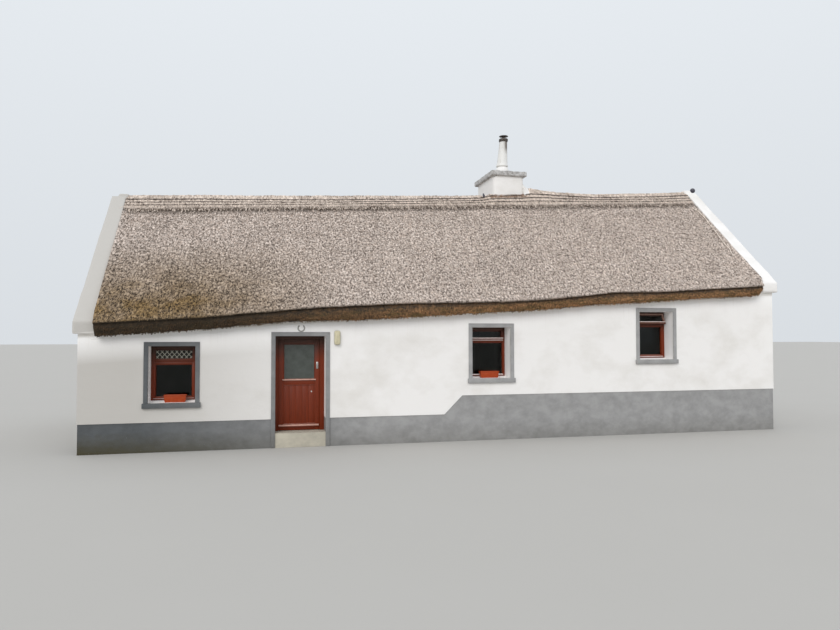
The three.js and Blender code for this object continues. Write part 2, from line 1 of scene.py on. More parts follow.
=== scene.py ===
"""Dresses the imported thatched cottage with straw, paint, joinery and fittings. Lengths are in metres."""
import json
import math

import bmesh
import bpy
import numpy as np
from bpy.props import FloatProperty, FloatVectorProperty, IntProperty, PointerProperty
from mathutils import Matrix, Vector, noise
from mathutils.bvhtree import BVHTree


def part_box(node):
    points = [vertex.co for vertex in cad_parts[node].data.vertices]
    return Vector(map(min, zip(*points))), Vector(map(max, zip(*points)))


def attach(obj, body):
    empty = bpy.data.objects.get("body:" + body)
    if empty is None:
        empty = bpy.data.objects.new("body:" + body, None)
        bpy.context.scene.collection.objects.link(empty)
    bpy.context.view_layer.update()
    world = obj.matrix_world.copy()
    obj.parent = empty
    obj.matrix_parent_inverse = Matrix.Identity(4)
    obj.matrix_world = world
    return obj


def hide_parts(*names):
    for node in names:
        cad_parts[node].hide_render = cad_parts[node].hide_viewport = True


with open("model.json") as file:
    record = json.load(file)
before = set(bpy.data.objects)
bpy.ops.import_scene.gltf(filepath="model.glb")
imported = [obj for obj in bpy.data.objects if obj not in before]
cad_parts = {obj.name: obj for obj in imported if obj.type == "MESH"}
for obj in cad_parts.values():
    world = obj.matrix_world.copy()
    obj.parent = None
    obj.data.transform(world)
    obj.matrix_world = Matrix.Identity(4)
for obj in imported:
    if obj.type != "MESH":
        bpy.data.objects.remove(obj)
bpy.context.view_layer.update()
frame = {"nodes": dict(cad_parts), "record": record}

bl_info = {
    "name": "Thatched cottage",
    "version": (1, 0, 0),
    "blender": (4, 5, 0),
    "location": "View3D > Sidebar > Cottage",
    "description": "Dresses the packed cottage with straw, paint, joinery and fittings",
    "category": "Object",
}

# The building climbs with the ground. "Along" is measured from the left gable's outer face, and
# "deep" inwards from the face of the long wall. A height line is its height there and its climb.
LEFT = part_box("left_gable_wall")[0].x
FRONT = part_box("front_wall_left")[0].y
HALF_DEPTH = -FRONT
WALL_HEAD = (2.300, 0.0645)

# Corners of a slope in section: deep, height, climb, and how much of the lip's and of the foot's
# unevenness each one takes. The coat runs from the crest to the lip, round the cut eave to the wall
# head, and back up the underside.
SLOPE = [(3.100, 5.630, 0.052, 0, 0), (2.680, 5.2514, 0.052, 0, 0), (-0.185, 2.6686, 0.060, 1, 0)]
LIP = [(-0.225, 2.640, 0.060, 1, 0), (-0.245, 2.606, 0.060, 1, 0), (-0.236, 2.580, 0.060, 1, 0)]
CUT_EAVE = [(-0.185, 2.556, 0.061, 1, 0), (-0.215, 2.500, 0.062, 0.8, 0.1),
            (-0.236, 2.420, 0.063, 0.5, 0.5), (-0.232, 2.340, 0.064, 0.1, 0.9),
            (-0.205, 2.286, 0.0645, 0, 1), (-0.100, 2.290, 0.0645, 0, 1)]
INSIDE = [(-0.004, 2.3003, 0.0645, 0, 1), (0.120, 2.3003, 0.0645, 0, 0), (0.280, 2.3003, 0.0645, 0, 0),
          (0.280, 2.6914, 0.058, 0, 0), (3.100, 5.173, 0.058, 0, 0)]

# How far the eave's lip is lifted up the slope, and its foot off the wall head, at places along it.
LIP_LIFT = [(0, -0.035), (2.3, -0.038), (3.3, 0.0), (4.7, 0.046), (6.7, 0.040), (7.8, -0.008),
            (8.9, -0.036), (9.8, -0.032), (10.7, 0.0), (11.5, 0.045), (12.8, 0.0), (14.1, 0.01),
            (15.6, 0.015)]
FOOT_LIFT = [(0, 0.005), (2.5, 0.015), (3.3, 0.05), (4.2, 0.076), (4.6, 0.05), (5.4, 0.025),
             (6.5, 0.012), (9.8, 0.012), (10.8, 0.035), (12.2, 0.028), (14.2, 0.045), (15.6, 0.03)]
# How far the straw is cut back from the kneelers, at the lip and at the foot, and over what run.
EAVE_END = {"run": 0.9, "lip": 0.11, "foot": 0.24}
VERGE_END = {"run": 0.32, "rise": 0.075, "fades": 4.3}
# The rope beside the right-hand coping: along and deep.
ROPE_LINE = [(15.46, 2.50), (15.52, 2.30), (15.53, 2.07), (15.50, 1.82), (15.49, 1.58), (15.42, 1.21),
             (15.43, 0.95), (15.36, 0.72)]

# The ridge cap's front half, with how far each corner follows the ridge's own line.
RIDGE_FOOT = (2.680, 5.2517, 0.052, 0.0)
RIDGE_SKIN = [(2.642, 5.3000, 0.052, 0.0), (2.660, 5.3370, 0.052, 0.0), (2.970, 5.650, 0.052, 1.0),
              (3.050, 5.720, 0.052, 1.0), (3.100, 5.730, 0.052, 1.0)]
RIDGE_GRID = 0.024
# The ridge's height over its climb: it sags, is built up beyond the chimney, and runs level before it.
RIDGE_TOP = [(0, 0.015), (1.3, 0.013), (3.2, -0.008), (5.2, -0.020), (7.6, -0.036), (9.6, -0.038),
             (10.45, 0.145), (10.75, 0.141), (11.2, 0.075), (11.65, 0.030), (12.3, -0.004),
             (12.9, -0.026), (14.2, 0.0), (15.6, 0.025)]
RIDGE_FRONT = [(0, 0), (1.3, -0.009), (3.2, -0.036), (5.2, -0.055), (7.6, -0.048), (9.2, -0.035),
               (9.6, 0.045), (10.4, 0.055), (10.7, 0.085), (11.2, 0.060), (11.65, 0.017),
               (12.9, -0.045), (14.2, -0.023), (15.6, 0.01)]
# The ties' places down the cap's slope, where its loose straw ends, and its cut foot.
LIGATURES = (0.225, 0.345, 0.47)
FRINGE = 0.50
RIDGE_LIP = 0.60

SIDES = {1: "front", -1: "rear"}
GIRTH = "girth"
TONE = "tone"
OVERHEAD = 9.0
LAP = 0.008
DRIP_EDGE = 0.003


def linear(colour):
    """An sRGB hex colour as the linear colour that a socket takes."""
    parts = [int(colour[i:i + 2], 16) / 255 for i in (1, 3, 5)]
    return [p / 12.92 if p <= 0.04045 else ((p + 0.055) / 1.055) ** 2.4 for p in parts] + [1.0]


def shade(colour, factor):
    """A colour made darker or lighter."""
    return [min(1.0, part * factor) for part in colour[:3]] + [1.0]


def colour_property(name, description, colour):
    return FloatVectorProperty(name=name, description=description, subtype="COLOR", size=4,
                               min=0, max=1, default=linear(colour))


def size_property(name, description, default):
    return FloatProperty(name=name, description=description, default=default, min=0, unit="LENGTH")


def count_property(name, description, default):
    return IntProperty(name=name, description=description, default=default, min=0)


class RoofSettings(bpy.types.PropertyGroup):
    """Straw, eave and ridge."""
    grid: size_property("Grid", "Spacing of the coat's mesh on the slope", 0.042)
    broad: size_property("Broad relief", "Height of the swells a metre or two across", 0.022)
    medium: size_property("Medium relief", "Height of the lumps a quarter of a metre across", 0.012)
    fine: size_property("Fine relief", "Height of the bundles that run down the slope", 0.012)
    ends: count_property("Straw ends", "Tufts of cut ends on each slope", 46000)
    end_length: size_property("End length", "Showing length of a tuft of cut ends", 0.074)
    end_width: size_property("End width", "A tuft of cut ends, several stems thick so that it shows", 0.019)
    eave_straws: count_property("Eave straws", "Straws that stand out of each cut eave", 6500)
    ridge_straws: count_property("Ridge straws", "Loose straws between the ridge's ties, each side", 9000)
    fringe: count_property("Ridge fringe", "Straws that hang past the ridge's foot, each side", 3200)
    stack_straws: count_property("Stack straws", "Wet straws along the front of the chimney's foot", 260)
    pale: colour_property("Pale straw", "Cut ends bleached by the weather", "#eadace")
    dark: colour_property("Dark straw", "Shade and damp between the ends", "#5a4d43")
    moss: colour_property("Moss", "Tint that growth gives the lower left slope", "#ab976c")
    rust: colour_property("Eave straw", "Dry underlayer shown at the cut eave", "#b98a5e")
    # The eave colour at the left end is partly dampness and partly painted shade.
    damp_and_shade: colour_property("Damp eave", "Eave towards the left end", "#33291b")
    ridge_pale: colour_property("Ridge straw", "Straw laid over the ridge", "#f2e1d2")
    ridge_dark: colour_property("Ridge shade", "Shade in the ridge straw", "#614f43")
    # The rods' colour also paints the shade in the ties' grooves and along the ridge's foot.
    rod: colour_property("Rods", "Hazel rods that tie the ridge", "#2b211a")


class WallSettings(bpy.types.PropertyGroup):
    """Painted masonry."""
    white: colour_property("Wall paint", "Off-white masonry paint", "#f1eeeb")
    # Sheltered paint is painted light: whiter paint under the eave and in the reveals, against their shade.
    painted_light_white: colour_property("Sheltered paint", "Paint that the eave keeps clean", "#fcfaf8")
    grimy: colour_property("Grime", "Paint greyed by the weather", "#d6d1c9")
    # Paint greyed at the left end, partly by dampness and partly as painted shade.
    damp_and_shade: colour_property("Damp paint", "Paint greyed at the damp left end", "#c0bcb6")
    # The trim paint is darker at the left end, partly as painted shade.
    grey: colour_property("Trim paint", "Grey paint of plinth and surrounds at the shady left", "#56595b")
    faded: colour_property("Faded trim paint", "The same paint faded in the open to the right", "#a09f9e")
    algae: colour_property("Algae", "Growth at the foot of the plinth", "#403a20")
    swell: size_property("Swell", "Depth of the hollows in the render", 0.010)
    arris: size_property("Arris", "Rounding of the painted surrounds' corners", 0.006)


class JoinerySettings(bpy.types.PropertyGroup):
    """Door and windows."""
    stain: colour_property("Stain", "Dark red-brown wood stain", "#7b2d0c")
    # The bleached and chalk-white stains are partly weathering and partly painted sheen on faces towards
    # the sky.
    bleached: colour_property("Bleached stain", "Ledges that face the sky", "#d3aa9b")
    chalky_and_sheen: colour_property("Chalky stain", "Window ledges, the palest", "#f1e2dc")
    arris: size_property("Arris", "Easing of planed edges", 0.004)
    jamb: size_property("Frame width", "Face width of the fixed window frame", 0.050)
    sash: size_property("Sash width", "Face width of an opening light's members", 0.045)
    vent_open: FloatProperty(name="Vent opening", description="Angle of the vent that stands ajar",
                             default=math.radians(28), subtype="ANGLE")
    diamond: FloatVectorProperty(name="Diamond", description="Width and height of a leaded diamond",
                                 size=2, default=(0.095, 0.105), unit="LENGTH")


class StageSettings(bpy.types.PropertyGroup):
    """Floor, light and camera."""
    floor: colour_property("Floor", "Plain pale floor", "#bab7b2")
    sky: colour_property("Surround", "Pale surround that lights the scene", "#e6ebf0")
    level_strength: FloatProperty(name="Level strength", description="Light from all round", default=0.88)
    zenith_strength: FloatProperty(name="Zenith strength", description="Light from overhead", default=1.15)
    key_strength: FloatProperty(name="Key strength", description="Soft light from the upper left",
                                default=1.25)
    key_colour: colour_property("Key colour", "Slightly warm daylight", "#fffdfb")
    key_spread: FloatProperty(name="Key spread", description="Angle that the soft light fills",
                              default=math.radians(35), subtype="ANGLE")
    camera_place: FloatVectorProperty(name="Camera", description="Camera position", size=3,
                                      subtype="TRANSLATION", default=(-4.450, -17.455, 2.314))
    camera_turn: FloatVectorProperty(name="Camera turn", description="Yaw to the right, pitch up and roll",
                                     size=3, subtype="EULER",
                                     default=[math.radians(v) for v in (13.214, 1.795, -0.053)])
    lens: FloatProperty(name="Lens", description="Focal length in millimetres", default=28.89)


# Meshes
def clear_selection():
    if bpy.context.object and bpy.context.object.mode != "OBJECT":
        bpy.ops.object.mode_set(mode="OBJECT")
    bpy.ops.object.select_all(action="DESELECT")


def activate(piece):
    clear_selection()
    piece.select_set(True)
    bpy.context.view_layer.objects.active = piece


def settle(piece):
    """Puts a piece's place, turn and size into its mesh."""
    activate(piece)
    bpy.ops.object.transform_apply(location=True, rotation=True, scale=True)
    return piece


def block(name, corner, opposite):
    """A block between two opposite corners, to be shaped further."""
    clear_selection()
    low, high = (Vector(map(end, corner, opposite)) for end in (min, max))
    bpy.ops.mesh.primitive_cube_add(size=1, location=(low + high) / 2, scale=high - low)
    piece = bpy.context.object
    piece.name = piece.data.name = name
    return settle(piece)


def edit_all(piece):
    """Enters edit mode with the whole piece selected."""
    activate(piece)
    bpy.ops.object.mode_set(mode="EDIT")
    bpy.ops.mesh.select_all(action="SELECT")


def leave_edit(piece):
    bpy.ops.object.mode_set(mode="OBJECT")
    return piece


def pick(piece, kind, test):
    """Enters edit mode with only the vertices, edges or faces selected that pass the test."""
    if piece.mode != "EDIT":
        edit_all(piece)
    bpy.ops.mesh.select_mode(type=kind)
    bpy.ops.mesh.select_all(action="DESELECT")
    mesh = bmesh.from_edit_mesh(piece.data)
    for part in {"VERT": mesh.verts, "EDGE": mesh.edges, "FACE": mesh.faces}[kind]:
        if test(part):
            part.select_set(True)
    bmesh.update_edit_mesh(piece.data)


def work(piece, kind, test, tool, **settings):
    """Picks parts of a piece, works one tool on them and leaves edit mode."""
    pick(piece, kind, test)
    tool(**settings)
    return leave_edit(piece)


def modify(piece, kind, **settings):
    """Adds a modifier with its settings and applies it."""
    activate(piece)
    modifier = piece.modifiers.new(kind.lower(), kind)
    for name, value in settings.items():
        setattr(modifier, name, value)
    bpy.ops.object.modifier_apply(modifier=modifier.name)
    return piece


def ease(piece, edge, segments=2):
    """Rounds every arris of a piece."""
    return modify(piece, "BEVEL", width=edge, segments=segments, limit_method="ANGLE",
                  angle_limit=math.radians(35))


def roughen(piece, cell, strength, level=0.5, **settings):
    """Swells a piece by soft clouds of about that size."""
    clouds = bpy.data.textures.new(piece.name, "CLOUDS")
    clouds.noise_scale = cell
    return modify(piece, "DISPLACE", texture=clouds, texture_coords="LOCAL", mid_level=level,
                  strength=strength, **settings)


def worn(piece, voxel, wobble, cell):
    """Melts a piece into one solid with worn arrises and a hand-worked surface."""
    modify(piece, "REMESH", mode="VOXEL", voxel_size=voxel)
    roughen(piece, cell, wobble)
    return modify(piece, "SMOOTH", factor=0.5, iterations=1)


def join(name, pieces):
    activate(pieces[0])
    for piece in pieces[1:]:
        piece.select_set(True)
    if len(pieces) > 1:
        bpy.ops.object.join()
    pieces[0].name = pieces[0].data.name = name
    return pieces[0]


def face_outwards(piece):
    edit_all(piece)
    bpy.ops.mesh.remove_doubles(threshold=1e-5)
    bpy.ops.mesh.normals_make_consistent(inside=False)
    return leave_edit(piece)


def new_piece(name, points, edges=(), faces=()):
    mesh = bpy.data.meshes.new(name)
    mesh.from_pydata(points, edges, faces)
    piece = bpy.data.objects.new(name, mesh)
    bpy.context.scene.collection.objects.link(piece)
    return piece


def whole_copy(node, name):
    """A copy of a CAD node's mesh with its doubles merged and its flat faces whole."""
    piece = bpy.data.objects.new(name, frame["nodes"][node].data.copy())
    bpy.context.scene.collection.objects.link(piece)
    activate(piece)
    bpy.ops.mesh.customdata_custom_splitnormals_clear()
    edit_all(piece)
    bpy.ops.mesh.remove_doubles(threshold=1e-4)
    bpy.ops.mesh.dissolve_limited(angle_limit=math.radians(1))
    return leave_edit(piece)


def spun(name, profile, centre, steps=48):
    """A turned piece from a profile of (radius, height) that starts and ends on its axis."""
    points = [(centre[0] + radius, centre[1], height) for radius, height in profile]
    piece = new_piece(name, points, edges=[(i, i + 1) for i in range(len(points) - 1)])
    edit_all(piece)
    bpy.ops.mesh.spin(steps=steps, angle=math.tau, center=(*centre[:2], 0), axis=(0, 0, 1))
    return face_outwards(leave_edit(piece))


def complete(piece, slot, *nodes, paint=None, body="cottage", smooth=None):
    """Finishes a piece: its material, shading, body and the nodes it stands for. The slot is not used."""
    activate(piece)
    if paint:
        piece.data.materials.clear()
        piece.data.materials.append(paint)
    if smooth:
        bpy.ops.object.shade_smooth_by_angle(angle=math.radians(smooth))
    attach(piece, body)
    if nodes:
        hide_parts(*nodes)


def from_arrays(name, points, faces, uv=None, tone=None):
    """A mesh piece from arrays of points and faces, with a girth map and a tone for each point."""
    piece = new_piece(name, points.reshape(-1, 3).tolist(), faces=faces)
    mesh = piece.data
    if uv is not None:
        corners = np.empty(len(mesh.loops), dtype=np.int32)
        mesh.loops.foreach_get("vertex_index", corners)
        layer = mesh.uv_layers.new(name=GIRTH)
        layer.data.foreach_set("uv", uv.reshape(-1, 2)[corners].astype(np.float32).ravel())
    if tone is not None:
        mesh.attributes.new(TONE, "FLOAT", "POINT").data.foreach_set("value", tone.astype(np.float32))
    return piece


def sweep(name, rings, uv=None, closed=False):
    """A closed solid through rings of points, one ring at each station."""
    stations, count = rings.shape[:2]
    index = np.arange(stations * count).reshape(stations, count)
    ahead = np.roll(index, -1, axis=0) if closed else index[1:]
    here = index if closed else index[:-1]
    quads = np.stack([here, np.roll(here, -1, axis=1), np.roll(ahead, -1, axis=1), ahead], axis=-1)
    faces = quads.reshape(-1, 4).tolist()
    if not closed:
        faces += [index[0][::-1].tolist(), index[-1].tolist()]
    return face_outwards(from_arrays(name, rings, faces, uv))


def hoop(radius, corners, spin_axis):
    """Points of a small ring round the x or y axis, the section of a rod or rope."""
    turn = np.linspace(0, math.tau, corners + 1)[:-1]
    aside, level = radius * np.cos(turn), radius * np.sin(turn)
    return np.stack([0 * turn, aside, level] if spin_axis == "x" else [aside, 0 * turn, level], axis=1)


def spread(corners, spacing):
    """Points along a line of corners at about even spacing, each corner kept."""
    corners = np.array(corners, float)
    points = [corners[:1]]
    for start, end in zip(corners[:-1], corners[1:]):
        count = max(1, round(float(np.hypot(*(end - start)[:2])) / spacing))
        share = np.linspace(0, 1, count + 1)[1:, None]
        points.append(start + share * (end - start))
    return np.concatenate(points)


def girth_of(points):
    """How far along a section each of its points lies."""
    steps = np.hypot(np.diff(points[:, 0]), np.diff(points[:, 1]))
    return np.concatenate([[0.0], np.cumsum(steps)])


def field(across, down, cell, seed):
    """Smooth noise from -1 to 1 over two arrays of lengths, with cells of that width and height."""
    pairs = zip((across / cell[0]).ravel(), (down / cell[1]).ravel())
    return np.array([noise.noise((u, v, seed)) for u, v in pairs]).reshape(across.shape)


def eased(along, places):
    """A smooth line through a few (along, value) places."""
    at, value = np.array(places, float).T
    span = np.clip(np.searchsorted(at, along, side="right") - 1, 0, len(at) - 2)
    share = np.clip((along - at[span]) / (at[span + 1] - at[span]), 0, 1)
    share = 0.5 * share + 0.5 * share * share * (3 - 2 * share)
    return value[span] + share * (value[span + 1] - value[span])


def units(directions):
    """The same directions, each one metre long."""
    return directions / np.linalg.norm(directions, axis=1, keepdims=True)


def outward(section):
    """Unit normals of a section's points, away from the straw."""
    tangent = np.gradient(section[:, :2], axis=0)
    return units(np.stack([tangent[:, 1], -tangent[:, 0]], axis=1))


def stations(node, spacing):
    """Places along the building from one end of a node to the other, as a column."""
    low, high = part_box(node)
    count = round((high.x - low.x) / spacing)
    return np.linspace(low.x - LEFT, high.x - LEFT, count + 1)[:, None]


def in_frame(along, deep, height, side):
    """Points in the part's frame. The front is side 1 and the rear is side -1."""
    return np.stack([along + LEFT, side * (FRONT + deep), height], axis=-1)


def skins_of(*names):
    """Finished pieces, ready to be asked for their surface."""
    depsgraph = bpy.context.evaluated_depsgraph_get()
    return [BVHTree.FromObject(bpy.data.objects[name], depsgraph) for name in names]


def surface(x, y, skins):
    """The height of the topmost surface at a place."""
    hits = (skin.ray_cast(Vector((x, y, OVERHEAD)), Vector((0, 0, -1)))[0] for skin in skins)
    return max(hit.z for hit in hits if hit)


# Straw
def slope_grid(side, roof):
    """The outer skin of one slope as a grid of points, with normals, girth and relief."""
    skin = spread([*SLOPE, *LIP], roof.grid)
    eave = spread([LIP[-1], *CUT_EAVE], roof.grid * 0.7)[1:]
    section = np.concatenate([skin, eave])
    girth = girth_of(section)
    along = stations("thatch_front", roof.grid)
    across, down = np.broadcast_arrays(along, girth[None, :])
    seed = 3.0 if side > 0 else 17.0
    under_ridge = np.clip((girth - 0.35) / 0.3, 0, 1)
    lip_at = girth[len(skin) - 1]
    ragged = np.where(girth > lip_at, 1.5, 1.0)
    swells = [(roof.broad, (1.7, 1.3)), (roof.medium, (0.21, 0.33)), (ragged * roof.fine, (0.075, 0.26))]
    relief = sum(rise * field(across, down, cell, seed + n) for n, (rise, cell) in enumerate(swells))
    relief = relief * under_ridge
    in_from_end = np.minimum(across - along[0], along[-1] - across)
    verge = np.clip(1 - in_from_end / VERGE_END["run"], 0, 1) ** 2
    relief = relief + VERGE_END["rise"] * np.clip(1 - down / VERGE_END["fades"], 0, 1) * verge
    normal = outward(section)
    deep, height = uneven(section, along)
    deep = deep + relief * normal[None, :, 0]
    height = height + relief * normal[None, :, 1]
    points = in_frame(shortened(along, section), deep, height, side)
    facing = np.stack([np.zeros(len(normal)), side * normal[:, 0], normal[:, 1]], axis=1)
    return {"points": points, "normal": facing, "girth": girth, "along": along, "lip": lip_at}


def uneven(section, along):
    """A section's points at each station, with the eave's lip and foot lifted as they are there."""
    lip = eased(along, LIP_LIFT) * section[None, :, 3] ** 3
    foot = eased(along, FOOT_LIFT) * section[None, :, 4]
    deep = section[None, :, 0] + 1.11 * lip
    return deep, section[None, :, 1] + section[None, :, 2] * along + lip + foot


def shortened(along, section):
    """Stations drawn in from both gables at the eave, where the straw is cut back from the kneelers."""
    lip, foot = section[None, :, 3], section[None, :, 4]
    low_down = EAVE_END["lip"] * (1 - foot) + EAVE_END["foot"] * foot
    cut = np.where(foot > 0, low_down, EAVE_END["lip"] * lip ** 24)
    cut = np.where(section[None, :, 0] > -0.002, 0, cut)
    low, high = along[0], along[-1]
    near_low = np.clip(1 - (along - low) / EAVE_END["run"], 0, 1) ** 2
    near_high = np.clip(1 - (high - along) / EAVE_END["run"], 0, 1) ** 2
    return along + cut * (0.2 * near_low - near_high)


def straw_coat(side, label, grid, paint):
    """One slope: straw outside, its cut eave, and its underside on the wall and rafters."""
    along, girth = grid["along"], grid["girth"]
    inside = spread(INSIDE, 0.4)
    deep, height = uneven(inside, along)
    under = in_frame(shortened(along, inside), deep, height, side)
    rings = np.concatenate([grid["points"], under], axis=1)
    around = np.concatenate([girth, girth[-1] + 0.05 + girth_of(inside)])
    uv = np.stack(np.broadcast_arrays(along, around[None, :]), axis=-1)
    piece = sweep(f"thatch_coat_{label}", rings, uv)
    complete(piece, "thatch", f"thatch_{label}", paint=paint, smooth=60)


def loose_straws(name, roots, heading, facing, length, width, paint, slot, rng):
    """Straws that lie on a surface: each is a closed wedge with its thin end in the straw."""
    count = len(roots)
    aside = units(np.cross(heading, facing))
    upward = np.cross(aside, heading)
    ends = roots + heading * length[:, None]
    half = width[:, None] / 2
    corners = [ends + half * aside, ends - half * aside, ends + 1.3 * half * upward]
    points = np.stack([roots, *corners], axis=1)
    start = 4 * np.arange(count)[:, None]
    faces = np.concatenate([start + face for face in ([0, 1, 2], [0, 2, 3], [0, 3, 1], [1, 3, 2])])
    pale, dark = rng.uniform(0.6, 1.0, count), rng.uniform(0.0, 0.45, count)
    tone = np.repeat(np.where(rng.random(count) < 0.65, pale, dark), 4)
    piece = from_arrays(name, points, faces.tolist(), tone=tone)
    complete(face_outwards(piece), slot, paint=paint)


def scatter(grid, count, girths, rng):
    """Random places on a slope's grid: points, directions down the slope and normals."""
    low, high = np.searchsorted(grid["girth"], girths)
    high = min(high, len(grid["girth"]) - 2)
    row = rng.uniform(1, len(grid["along"]) - 2, count)
    column = rng.uniform(low, high, count)
    i, j = row.astype(int), column.astype(int)
    a, b = (row - i)[:, None], (column - j)[:, None]
    points = grid["points"]
    near = points[i, j] * (1 - a) + points[i + 1, j] * a
    far = points[i, j + 1] * (1 - a) + points[i + 1, j + 1] * a
    return near * (1 - b) + far * b, units(far - near), grid["normal"][j]


def laid(down, facing, lift, splay, rng):
    """Directions close to the fall of the slope, a little raised and splayed."""
    count = len(down)
    aside = np.cross(down, facing)
    raised = down + facing * rng.uniform(*lift, count)[:, None]
    return units(raised + aside * rng.normal(0, splay, count)[:, None])


class COTTAGE_OT_thatch(bpy.types.Operator):
    """Lays the two slopes of straw with their cut eaves and loose straws."""
    bl_idname = "cottage.thatch"
    bl_label = "Lay thatch"

    def execute(self, context):
        roof = context.scene.cottage_roof
        coat_paint = weathered_straw("weathered_straw", roof)
        straw_paint = loose_straw("bleached_straw_ends", roof.dark, roof.pale, moss=roof.moss)
        eave_paint = loose_straw("eave_straw_ends", roof.damp_and_shade, roof.rust, damp_and_shade_end=True)
        rope_paint = straw_rope("straw_rope")
        for side, label in SIDES.items():
            rng = np.random.default_rng(7 + side)
            grid = slope_grid(side, roof)
            straw_coat(side, label, grid, coat_paint)
            self.slope_ends(grid, label, roof, straw_paint, rng)
            self.eave_ends(grid, label, roof.eave_straws, eave_paint, rng)
            self.verge_rope(side, label, rope_paint)
        return {"FINISHED"}

    def slope_ends(self, grid, label, roof, paint, rng):
        """Tufts of cut ends from below the ridge's foot to just above the lip."""
        roots, down, facing = scatter(grid, roof.ends, (0.48, grid["lip"] - 0.085), rng)
        length = roof.end_length * rng.uniform(0.6, 1.4, roof.ends)
        width = roof.end_width * rng.uniform(0.5, 1.5, roof.ends)
        heading = laid(down, facing, (0.02, 0.16), 0.42, rng)
        loose_straws(f"thatch_ends_{label}", roots - 0.004 * facing, heading, facing, length, width,
                     paint, "thatch", rng)

    def eave_ends(self, grid, label, count, paint, rng):
        """Straw ends that stand out of the cut eave and hang below it."""
        roots, down, facing = scatter(grid, count, (grid["lip"] + 0.11, grid["girth"][-3]), rng)
        heading = laid(down, facing, (0.2, 1.2), 0.5, rng)
        length = rng.uniform(0.015, 0.050, count)
        width = rng.uniform(0.008, 0.022, count)
        loose_straws(f"eave_straws_{label}", roots - 0.008 * facing, heading, facing, length, width,
                     paint, "thatch", rng)

    def verge_rope(self, side, label, paint):
        """A straw rope that lies down the slope beside the right-hand coping."""
        skins = skins_of(f"thatch_coat_{label}")
        path = spread(ROPE_LINE, 0.03)
        points = in_frame(path[:, 0], path[:, 1], np.zeros(len(path)), side)
        for point in points:
            point[2] = surface(point[0], point[1], skins) + 0.030
        girth = 0.016 + 0.004 * field(path[:, 1], 0 * path[:, 1], (0.05, 1), 77.0)
        rings = points[:, None, :] + girth[:, None, None] * hoop(1.0, 8, "y")[None, :, :]
        complete(sweep(f"verge_rope_{label}", rings), "thatch", paint=paint, smooth=50)


